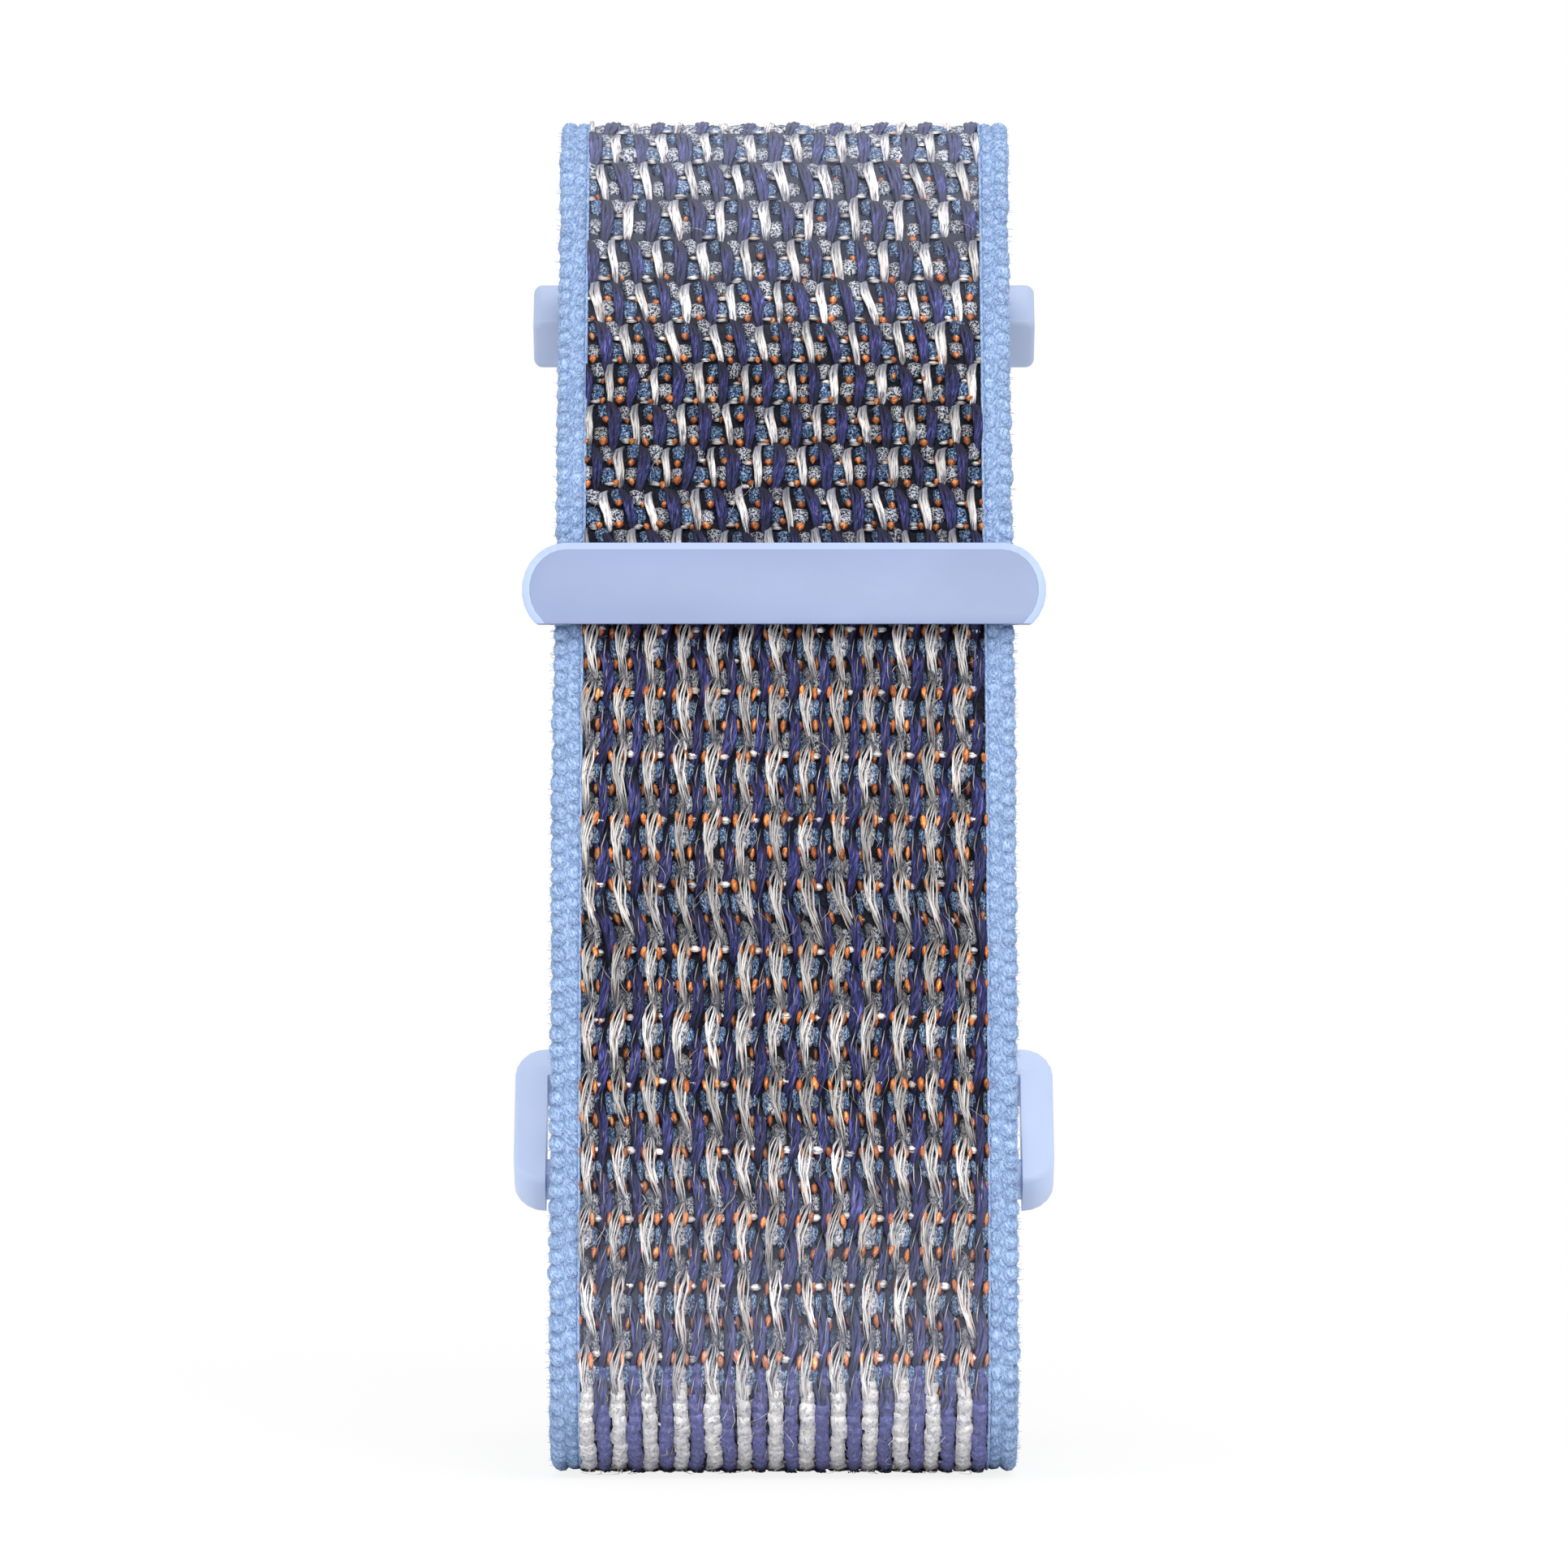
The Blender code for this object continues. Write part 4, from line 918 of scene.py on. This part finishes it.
    def stray_hairs(self, side, length):
        """Loose fibres that lie over the yarns, more of them on the looped face."""
        made = []
        for number, stations in enumerate(HAIR):
            name = f"hair_{number}"
            if name not in self.yarns:
                self.yarns[name] = [strand(name, stations, 3)]
            count = int(length * (0.5 if side > 0 else 1.6))
            rows = np.empty((count, 8))
            rows[:, 0] = self.rng.uniform(-PANEL_HALF, PANEL_HALF, count)
            rows[:, 1] = self.rng.uniform(0, length, count)
            rows[:, 2] = self.rng.uniform(0.92, 1.06, count)
            rows[:, 3] = self.rng.uniform(0.8, 1.2, count)
            rows[:, 4] = self.rng.uniform(0.4, 1.1, count)
            rows[:, 5] = 1.0
            rows[:, 6] = self.rng.normal(0, 0.5, count)
            rows[:, 7] = self.rng.uniform(0.7, 1.1, count)
            low = self.route.at(rows[:, 1])[0][:, 1] < TOP_CREST_HEIGHT - 2
            made.append((name, "white", rows[low]))
        return made

    def stretch(self, name, start, end, ground=(-0.5, 0.5), half=PANEL_HALF + 0.1, sink=0.0):
        """The yarns of both faces whose middles lie between two lengths, on a dark ground."""
        section = box_section(half - 0.05, *ground)
        parts = [(band(start, end, section, 0.8, name + "_ground"), shaded_ground_cloth())]
        low = 0.9 if self.route is ROUTE else 0.0
        high = self.route.lengths[-1]
        for side, kinds in self.faces:
            for yarn_name, look, rows in kinds:
                inside = (rows[:, 1] >= start) & (rows[:, 1] < end)
                rows = rows[inside & (np.abs(rows[:, 0]) < half)].copy()
                if not len(rows):
                    continue
                if side < 0:
                    rows[:, 4] *= -1
                    rows[:, 6] *= -1
                for template in self.yarns[yarn_name]:
                    own = rows.copy()
                    own[:, 0] += self.rng.normal(0, 0.015, len(rows))
                    own[:, 2] += self.rng.normal(0, 0.015, len(rows))
                    own[:, 7] *= self.rng.uniform(*PLY_TONES.get(look, (0.9, 1.08)), len(rows))
                    mesh = scatter(template, own, name, self.rng, half)
                    places = vertex_places(mesh)
                    places[:, 1] = np.clip(places[:, 1], low, high)
                    places[:, 2] = (places[:, 2] - sink) * side
                    move_vertices(mesh, places)
                    parts.append((mesh, self.looks[look]))
        made = []
        for mesh, look in parts:
            wrap_mesh(mesh, self.route, False)
            # Painted light: yarns high over the top and low near the floor are paled and get brighter tones,
            # the ground cloth paled more
            place, level = read_vectors(mesh, "place"), vertex_places(mesh)[:, 2] / MM
            high = np.clip((level - TOP_ZONE_HEIGHT) / TOP_PAINTED_LIGHT_SPAN, 0, 1)
            low = np.clip((LOW_PAINTED_LIGHT_HEIGHT - level) / LOW_PAINTED_LIGHT_SPAN, 0, 1)
            painted_light = (high * TOP_PAINTED_LIGHT + low * LOW_PAINTED_LIGHT) * (1.2 if look == shaded_ground_cloth() else 1)
            write_vectors(mesh, "painted_light", np.column_stack([painted_light, painted_light, painted_light]))
            place[:, 2] *= 1 + high * TOP_PAINTED_GLOW + low * LOW_PAINTED_GLOW
            write_vectors(mesh, "place", place)
            made.append(new_object(mesh, name, look))
        return join(made, name)


def carry(piece, bodies, start, end):
    """Rides on one body; between two, it keeps its place with its transform baked into its mesh."""
    if len(bodies) == 1:
        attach(piece, bodies[0])
    else:
        tuple(ROUTE.place(start))
        tuple(ROUTE.place(end))
        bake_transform(piece)


class STRAP_OT_webbing(bpy.types.Operator):
    """Weaves the panel of the strap, stretch by stretch"""

    bl_idname = "strap.webbing"
    bl_label = "Weave Webbing"

    def execute(self, context):
        weave = Weave(ROUTE)
        for name, start, end, bodies, segment in STRETCHES:
            piece = weave.stretch("webbing_" + name, start, end)
            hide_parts(segment + "_webbing")
            carry(piece, bodies, start, end)
        return {"FINISHED"}


KNOT_PITCH = 0.86
TUFT = ((0, -0.02, 0, 0.016, 0.016), (0.03, 0.14, 0.0, 0.014, 0.014), (-0.02, 0.30, 0.03, 0.008, 0.008))


def knot_rows(across, spots, side, rng):
    rows = np.empty((len(spots), 8))
    rows[:, 0] = side * across + rng.normal(0, 0.03, len(spots))
    rows[:, 1] = spots + rng.normal(0, 0.035, len(spots))
    rows[:, 2] = 0
    rows[:, 3] = rng.uniform(0.9, 1.08, len(spots))
    rows[:, 4] = rng.uniform(0.94, 1.12, len(spots))
    rows[:, 5] = rng.uniform(0.95, 1.04, len(spots))
    rows[:, 6] = side * 0.08
    rows[:, 7] = rng.uniform(0.92, 1.06, len(spots))
    return rows


def edge_parts(name, start, end, rng, templates):
    """Both knitted edges between two lengths, as flat meshes: core, knots, inner border, fuzz."""
    outer, inner, tufts = templates
    spots = np.arange(math.ceil(start / KNOT_PITCH), math.ceil(end / KNOT_PITCH)) * KNOT_PITCH
    parts = []
    for side in (-1, 1):
        low, high = sorted((side * 10.9, side * 12.15))
        core = [(low, -0.6), (high, -0.6), (high, 0.6), (low, 0.6)]
        parts.append(band(start, end, core, 0.8, name, 0.9))
        low, high = sorted((side * 10.82, side * 10.96))
        ease = 0.05
        border = [(low + ease, -0.8), (high - ease, -0.8), (high, -0.75), (high, 0.75)]
        border += [(high - ease, 0.8), (low + ease, 0.8), (low, 0.75), (low, -0.75)]
        parts.append(band(start, end, border, 0.4, name, 0.95))
        parts.append(scatter(outer, knot_rows(12.00, spots, side, rng), name, rng, half=12.6))
        parts.append(scatter(inner, knot_rows(11.26, spots + 0.25, side, rng), name, rng, half=12.6))
        for template in tufts[side]:
            many = np.repeat(spots, 3) + rng.uniform(-0.35, 0.35, len(spots) * 3)
            rows = knot_rows(12.40, many, side, rng)
            rows[:, 2] = rng.uniform(-0.75, 0.75, len(many))
            rows[:, 0] -= side * 0.25 * rows[:, 2] ** 2
            rows[:, 3] = rng.uniform(0.5, 1.1, len(many))
            rows[:, 6] = rng.normal(0, 0.3, len(many))
            rows[:, 7] = 1.25
            parts.append(scatter(template, rows, name, rng, half=12.75))
    return parts


def edge_templates():
    """The outer and the inner knot, and for each side the fuzz that stands out of it."""
    outward = {side: [strand("tuft", TUFT, 3, -side * math.pi / 2)] for side in (-1, 1)}
    outer = bead("outer_knot", 0.51, 0.60, 0.80, 0.30)
    inner = bead("inner_knot", 0.50, 0.64, 0.76, 0.22)
    return outer, inner, outward


class STRAP_OT_edges(bpy.types.Operator):
    """Knits both edges of the strap from rows of knots"""

    bl_idname = "strap.edges"
    bl_label = "Knit Edges"

    def execute(self, context):
        rng = np.random.default_rng(SEED + 1)
        look = edge_yarn()
        templates = edge_templates()
        for name, start, end, bodies, segment in STRETCHES:
            made = []
            for mesh in edge_parts(name, start, end, rng, templates):
                wrap_mesh(mesh, ROUTE, False)
                made.append(new_object(mesh, name, look))
            piece = join(made, "edges_" + name)
            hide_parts(segment + "_edge_left", segment + "_edge_right")
            carry(piece, bodies, start, end)
        return {"FINISHED"}


# Moulded pieces


def plastic(name, colour, edge_tone_factor):
    """Moulded plastic with a fine grain, a painted tone along its eased edges (a painted highlight for a
    factor above 1, painted shade below it) and a painted highlight on a marked rim.
    """
    found = bpy.data.materials.get(name)
    if found is not None:
        return found
    look, nodes, shader = new_material(name)
    place = nodes.add("ShaderNodeTexCoord").outputs["Object"]
    cloud = nodes.noise(place, 180.0, 2.0, 0.5)
    grain = nodes.noise(place, 9000.0, 2.0, 0.6)
    tint = nodes.mix(nodes.between(cloud, 0.35, 0.65), shade(colour, 0.96), shade(colour, 1.03))
    # Painted highlight along the eased edges of the adapters, painted shade along those of the tab
    painted_edge_tone = nodes.add("ShaderNodeAttribute", attribute_name="painted_edge_tone").outputs["Fac"]
    tint = nodes.mix(nodes.between(painted_edge_tone, 0.2, 0.9, 0.0, 0.75), tint, shade(colour, edge_tone_factor))
    # Painted highlight on the marked chamfer
    painted_rim = nodes.add("ShaderNodeAttribute", attribute_name="painted_rim").outputs["Fac"]
    tint = nodes.mix(painted_rim, tint, shade(colour, 2.0))
    link(nodes, tint, shader.inputs["Base Color"])
    link(nodes, nodes.between(grain, 0.3, 0.7, 0.38, 0.5), shader.inputs["Roughness"])
    link(nodes, nodes.bump(grain, 0.08, 0.00002), shader.inputs["Normal"])
    return look


def steel():
    found = bpy.data.materials.get("Brushed Steel")
    if found is not None:
        return found
    look, nodes, shader = new_material("Brushed Steel")
    place = nodes.add("ShaderNodeTexCoord").outputs["Object"]
    lines = nodes.noise(nodes.vector("MULTIPLY", place, (300.0, 9000.0, 9000.0)), 1.0, 2.0, 0.6)
    tint = nodes.mix(nodes.between(lines, 0.3, 0.7), linear(178, 178, 182), linear(214, 214, 218))
    link(nodes, tint, shader.inputs["Base Color"])
    link(nodes, nodes.between(lines, 0.3, 0.7, 0.24, 0.42), shader.inputs["Roughness"])
    link(nodes, nodes.bump(lines, 0.1, 0.00001), shader.inputs["Normal"])
    shader.inputs["Metallic"].default_value = 1.0
    return look


def refined(node, name, softening, look, hard_angle, smooth_angle):
    """A merged copy of a CAD piece with its hard outer edges eased and its curves smooth."""
    bm = bmesh.new()
    bm.from_mesh(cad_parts[node].data)
    bmesh.ops.remove_doubles(bm, verts=list(bm.verts), dist=1e-6)
    bmesh.ops.dissolve_limit(bm, angle_limit=math.radians(0.5), verts=list(bm.verts), edges=list(bm.edges))
    # The eased edges' vertices are marked for a painted edge tone
    painted_edge_tone = bm.verts.layers.float.new("painted_edge_tone")
    hard = [e for e in bm.edges if e.is_convex and e.calc_face_angle() > math.radians(hard_angle)]
    eased = bmesh.ops.bevel(
        bm, geom=hard, offset=softening, offset_type="OFFSET", segments=2, profile=0.5,
        affect="EDGES", clamp_overlap=True, material=-1,
    )
    eased = set(eased["faces"])
    for vert in bm.verts:
        vert[painted_edge_tone] = float(eased.issuperset(vert.link_faces))
    bmesh.ops.recalc_face_normals(bm, faces=list(bm.faces))
    for face in bm.faces:
        face.smooth = True
    for edge in bm.edges:
        edge.smooth = len(edge.link_faces) == 2 and edge.calc_face_angle() < math.radians(smooth_angle)
    mesh = new_mesh(bm, name)
    return new_object(mesh, name, look)


def mark_painted_rim(mesh):
    """Marks the chamfer round a piece's front face, more at its ends, for a painted highlight."""
    normals = np.array([face.normal for face in mesh.polygons])
    areas = np.array([face.area for face in mesh.polygons])
    front = normals[np.argmax(np.where(normals[:, 1] < -0.5, areas, 0))]
    slope = normals @ front
    across = np.abs(normals[:, 0])
    sloped = (slope > 0.2) & (slope < 0.95) & ((across > 0.2) | (normals[:, 2] > 0.2))
    layer = mesh.attributes.new("painted_rim", "FLOAT", "FACE")
    layer.data.foreach_set("value", (sloped * (0.5 + 0.5 * np.minimum(across / 0.6, 1))).astype(np.float32))


class STRAP_OT_plastic_pieces(bpy.types.Operator):
    """Makes the end tab and both adapters in moulded plastic"""

    bl_idname = "strap.plastic_pieces"
    bl_label = "Mould Tab and Adapters"

    def execute(self, context):
        # Lit and shaded copies of one plastic: the adapters' is painted darker, the ring's painted lighter
        # and the tab's colour darker still, as painted light and shade
        shell = plastic("Adapter Plastic Painted Darker", shade(list(colours().plastic), 0.94), 1.6)
        face = plastic("Tab Plastic Painted Darker", list(colours().tab) + [1.0], 0.9)
        ring = plastic("Ring Plastic Painted Lighter", shade(list(colours().plastic), 1.24), 1.35)
        for node, name, body, look, hard_angle, smooth_angle in (
            ("end_tab", "tab_shell", "flap_4", face, 35, 32),
            ("fixed_adapter_frame", "fixed_adapter_shell", "fixed_adapter", shell, 50, 50),
            ("ring_adapter_frame", "ring_adapter_shell", "ring_adapter", ring, 50, 50),
        ):
            piece = refined(node, name, 0.00007, look, hard_angle, smooth_angle)
            if node == "end_tab":
                mark_painted_rim(piece.data)
            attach(piece, body)
            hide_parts(node)
        return {"FINISHED"}


class STRAP_OT_metal_pieces(bpy.types.Operator):
    """Gives the pin and the spring bars their steel"""

    bl_idname = "strap.metal_pieces"
    bl_label = "Finish Metal Pieces"

    def execute(self, context):
        for name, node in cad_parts.items():
            if any(word in name for word in ("_bar_", "_release_", "_pin")):
                for slot in node.material_slots:
                    slot.material = steel()
        self.spring("fixed")
        self.spring("ring")
        return {"FINISHED"}

    def spring(self, prefix):
        """A release bar's coil, as a smooth-shaded steel copy of its CAD part."""
        node = prefix + "_bar_spring"
        bm = bmesh.new()
        bm.from_mesh(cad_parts[node].data)
        for face in bm.faces:
            face.smooth = True
        piece = new_object(new_mesh(bm, prefix + "_spring_coil"), prefix + "_spring_coil", steel())
        low, high = (Vector(corner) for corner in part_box(node))
        middle, half = (low + high) / 2, (high.x - low.x) / 2
        if prefix == "ring":
            half = -half
        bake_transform(piece)
        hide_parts(node)


HOOK_PITCH = 1.0
# How far the yarns sink on the thin sewn end, so that they keep their thickness there
SEWN_SINK = 0.85


def hook_look():
    return yarn(
        "Hook Tape", linear(84, 92, 140), linear(112, 122, 172), linear(168, 178, 215),
        linear(96, 104, 150), 5.0, 5.0, 0.0,
    )


STITCH = (
    (0, -0.85, -0.12, 0.07, 0.06), (0, -0.6, 0.02, 0.12, 0.10), (0, 0.0, 0.05, 0.13, 0.11),
    (0, 0.6, 0.02, 0.12, 0.10), (0, 0.85, -0.12, 0.07, 0.06),
)


def thread_look():
    pale = linear(206, 222, 246)
    return yarn("Sewing Thread", linear(92, 120, 170), linear(150, 184, 230), pale, pale, 9.0, 1.5, 0.8)


class STRAP_OT_sewn_end(bpy.types.Operator):
    """Makes the strap's end round the strap pin, turned back and stitched"""

    bl_idname = "strap.sewn_end"
    bl_label = "Sew Strap End"

    def execute(self, context):
        length = SEWN_ROUTE.lengths[-1]
        weave = Weave(SEWN_ROUTE, (PLAIN_FACE,))
        for name, start, end, half in (
            ("sewn_layer", 0.0, 7.0, 9.6), ("pin_sleeve", 7.0, length, PANEL_HALF + 0.1),
        ):
            piece = weave.stretch(name, start, end, (-0.28, -0.2), half, SEWN_SINK)
            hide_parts("upper_3_webbing")
            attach(piece, "upper_3")
        self.sleeve_edges(length)
        self.stitches()
        return {"FINISHED"}

    def sleeve_edges(self, length):
        rng = np.random.default_rng(SEED + 3)
        made = []
        for mesh in edge_parts("sleeve_edges", 7.2, length - 0.8, rng, edge_templates()):
            places = vertex_places(mesh)
            places[:, 2] *= 0.34
            move_vertices(mesh, places)
            wrap_mesh(mesh, SEWN_ROUTE, False)
            made.append(new_object(mesh, "sleeve_edges", edge_yarn()))
        piece = join(made, "sleeve_edges")
        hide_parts("upper_3_webbing")
        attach(piece, "upper_3")

    def stitches(self):
        rng = np.random.default_rng(SEED + 4)
        template = strand("stitch", STITCH, 6, math.pi / 2)
        across = np.arange(-8.4, 8.5, 2.1)
        made = []
        for length in (3.2, 8.2):
            for height in (1.0, -1.62):
                rows = np.empty((len(across), 8))
                rows[:, 0] = across + (0.5 if height < 0 else 0.0) + rng.normal(0, 0.04, len(across))
                rows[:, 1] = length + rng.normal(0, 0.04, len(across))
                rows[:, 2] = abs(height)
                rows[:, 3:6] = rng.uniform(0.94, 1.04, (len(across), 3))
                rows[:, 6] = rng.normal(0, 0.04, len(across))
                rows[:, 7] = rng.uniform(0.85, 1.05, len(across))
                if height < 0:
                    rows[:, 4] *= -1
                mesh = scatter(template, rows, "stitches", rng)
                if height < 0:
                    flip_height(mesh)
                wrap_mesh(mesh, ROUTE, False)
                made.append(new_object(mesh, "stitches", thread_look()))
        piece = join(made, "stitches")
        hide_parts("upper_3_webbing")
        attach(piece, "upper_3")


class STRAP_OT_hook_patch(bpy.types.Operator):
    """Makes the hook patch on the inner side of the flap, with its small hooks"""

    bl_idname = "strap.hook_patch"
    bl_label = "Make Hook Patch"

    def execute(self, context):
        rng = np.random.default_rng(SEED + 2)
        look = hook_look()
        template = hook("hook", 0.075, 0.12, 0.13)
        first, split, last = FLAP_END - 20.2, FLAP_SPLITS[2], FLAP_END - 5.2
        for name, start, end, bodies, node in (
            ("patch_low", first, split, ("flap_2", "flap_3"), "hook_patch_3"),
            ("patch_high", split, last, ("flap_3", "flap_4"), "hook_patch_4"),
        ):
            spots = np.arange(start + 0.4, end - 0.3, HOOK_PITCH)
            count = int(2 * 9.2 / HOOK_PITCH)
            s, j = np.meshgrid(spots, np.arange(count), indexing="ij")
            i = np.meshgrid(np.arange(len(spots)), np.arange(count), indexing="ij")[0]
            rows = np.empty((s.size, 8))
            rows[:, 0] = ((j + (i % 2) * 0.5) * HOOK_PITCH - 9.2).ravel() + rng.normal(0, 0.04, s.size)
            rows[:, 1] = s.ravel() + rng.normal(0, 0.04, s.size)
            rows[:, 2] = 1.2
            rows[:, 3:6] = rng.uniform(0.9, 1.1, (s.size, 3))
            rows[:, 6] = rng.normal(0, 0.1, s.size)
            rows[:, 7] = rng.uniform(0.8, 1.1, s.size)
            tape = band(start, end, box_section(9.6, 0.9, 1.22), 0.8, name)
            made = []
            for mesh in (tape, scatter(template, rows, name, rng, half=9.55)):
                wrap_mesh(mesh, ROUTE, False)
                made.append(new_object(mesh, name, look))
            piece = join(made, name)
            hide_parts(node)
            low = FLAP_SPLITS[1] if name == "patch_low" else split
            tuple(ROUTE.place(low))
            tuple(ROUTE.place(low + 10.2))
            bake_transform(piece)
        return {"FINISHED"}


# Stage

FLOOR_RADIUS = 0.25
# Name, place, size and share of the key light's power
LAMPS = (
    ("Key", (0.06, -0.44, 0.41), 0.32, 0.90),
    ("Left", (-0.34, -0.38, 0.14), 0.30, 0.24),
    ("Right", (0.34, -0.38, 0.14), 0.30, 0.12),
    ("Top", (0.00, 0.16, 0.60), 0.30, 0.28),
)


class STRAP_OT_stage(bpy.types.Operator):
    """Sets up the floor, the light and the camera"""

    bl_idname = "strap.stage"
    bl_label = "Set Stage"

    def execute(self, context):
        scene = context.scene
        scene.view_settings.view_transform = "Standard"
        camera = bpy.data.objects.new("Camera", bpy.data.cameras.new("Camera"))
        scene.collection.objects.link(camera)
        camera.data.sensor_width = 36.0
        camera.data.lens = 36.0 * 11640 / 1932
        camera.location = (0, -0.524823, 0.0371)
        camera.rotation_euler = (math.pi / 2, 0, 0)
        camera.data.clip_start = 0.01
        scene.camera = camera
        floor = self.floor()
        self.light(scene)
        return {"FINISHED"}

    def floor(self):
        """A pale round floor that shows as white further out, with the strap's shadow near it."""
        bm = bmesh.new()
        bmesh.ops.create_circle(bm, cap_ends=True, segments=96, radius=FLOOR_RADIUS)
        look, nodes, shader = new_material("Pale Floor")
        shader.inputs["Base Color"].default_value = (0.9, 0.9, 0.9, 1)
        shader.inputs["Roughness"].default_value = 0.9
        white = nodes.add("ShaderNodeEmission", {"Color": (1, 1, 1, 1), "Strength": 1.0})
        place = nodes.add("ShaderNodeTexCoord").outputs["Object"]
        far = nodes.add("ShaderNodeVectorMath", {0: place}, operation="LENGTH").outputs["Value"]
        plain = nodes.between(far, FLOOR_RADIUS * 0.3, FLOOR_RADIUS * 0.9, 0.86, 1.0)
        seen = nodes.add("ShaderNodeLightPath").outputs["Is Camera Ray"]
        share = nodes.math("MULTIPLY", seen, plain)
        mixed = nodes.add("ShaderNodeMixShader", {0: share, 1: shader.outputs[0], 2: white.outputs[0]})
        output = next(n for n in look.node_tree.nodes if n.type == "OUTPUT_MATERIAL")
        link(nodes, mixed.outputs[0], output.inputs["Surface"])
        return new_object(new_mesh(bm, "floor"), "floor", look)

    def light(self, scene):
        world = bpy.data.worlds.new("Studio")
        scene.world = world
        world.use_nodes = True
        nodes = Nodes(world.node_tree)
        back = world.node_tree.nodes["Background"]
        back.inputs["Color"].default_value = (1, 1, 1, 1)
        path = nodes.add("ShaderNodeLightPath").outputs
        seen = nodes.math("MAXIMUM", path["Is Camera Ray"], path["Is Transmission Ray"])
        seen = nodes.math("MAXIMUM", seen, path["Is Glossy Ray"])
        link(nodes, nodes.between(seen, 0.0, 1.0, sizes().sky_light, 1.0), back.inputs["Strength"])
        for name, place, size, share in LAMPS:
            lamp = bpy.data.lights.new(name, "AREA")
            lamp.size = size
            lamp.energy = sizes().key_light * share
            item = bpy.data.objects.new(name, lamp)
            scene.collection.objects.link(item)
            item.location = place
            way = Vector((0, 0, 0.04)) - Vector(place)
            item.rotation_euler = way.to_track_quat("-Z", "Y").to_euler()


class StrapSizes(bpy.types.PropertyGroup):
    """Light levels that a user may change"""

    key_light: bpy.props.FloatProperty(
        name="Key Light", description="Power of the main lamp", default=2.2, min=0, unit="POWER"
    )
    sky_light: bpy.props.FloatProperty(
        name="Sky Light", description="Strength of the even light all round", default=0.66, min=0
    )


def colour_property(name, description, red, green, blue):
    return bpy.props.FloatVectorProperty(
        name=name, description=description, subtype="COLOR", size=3, min=0, max=1,
        default=linear(red, green, blue)[:3],
    )


class StrapColours(bpy.types.PropertyGroup):
    """Colours of the yarns and of the plastic"""

    navy: colour_property("Navy", "Colour of the navy yarn", 43, 45, 100)
    white: colour_property("White", "Colour of the white yarn", 236, 231, 228)
    orange: colour_property("Orange", "Colour of the orange yarn", 228, 126, 64)
    melange: colour_property("Melange", "Main colour of the speckled yarn", 72, 102, 146)
    edge: colour_property("Edge", "Colour of the knitted edges", 138, 172, 226)
    plastic: colour_property("Plastic", "Colour of the adapters", 174, 190, 222)
    # The tab's colour is the adapters' plastic painted darker, as painted shade
    tab: colour_property("Tab", "Colour of the end tab", 130, 144, 179)


class STRAP_PT_panel(bpy.types.Panel):
    """Shows the light levels and the colours, and a button for each step that makes the pieces"""

    bl_idname = "STRAP_PT_panel"
    bl_label = "Watch Strap"
    bl_space_type = "VIEW_3D"
    bl_region_type = "UI"
    bl_category = "Strap"

    def draw(self, context):
        for values in (context.scene.strap_sizes, context.scene.strap_colours):
            for name in values.__annotations__:
                self.layout.prop(values, name)
        for operator in OPERATORS:
            self.layout.operator(operator.bl_idname)


OPERATORS = (
    STRAP_OT_stage,
    STRAP_OT_webbing,
    STRAP_OT_edges,
    STRAP_OT_sewn_end,
    STRAP_OT_hook_patch,
    STRAP_OT_plastic_pieces,
    STRAP_OT_metal_pieces,
)
CLASSES = (StrapSizes, StrapColours, *OPERATORS, STRAP_PT_panel)


def register():
    for item in CLASSES:
        bpy.utils.register_class(item)
    bpy.types.Scene.strap_sizes = bpy.props.PointerProperty(type=StrapSizes)
    bpy.types.Scene.strap_colours = bpy.props.PointerProperty(type=StrapColours)


def unregister():
    del bpy.types.Scene.strap_colours
    del bpy.types.Scene.strap_sizes
    for item in reversed(CLASSES):
        bpy.utils.unregister_class(item)


def main():
    register()
    bpy.ops.strap.stage()
    bpy.ops.strap.webbing()
    bpy.ops.strap.edges()
    bpy.ops.strap.sewn_end()
    bpy.ops.strap.hook_patch()
    bpy.ops.strap.plastic_pieces()
    bpy.ops.strap.metal_pieces()


if __name__ == "__main__":
    main()
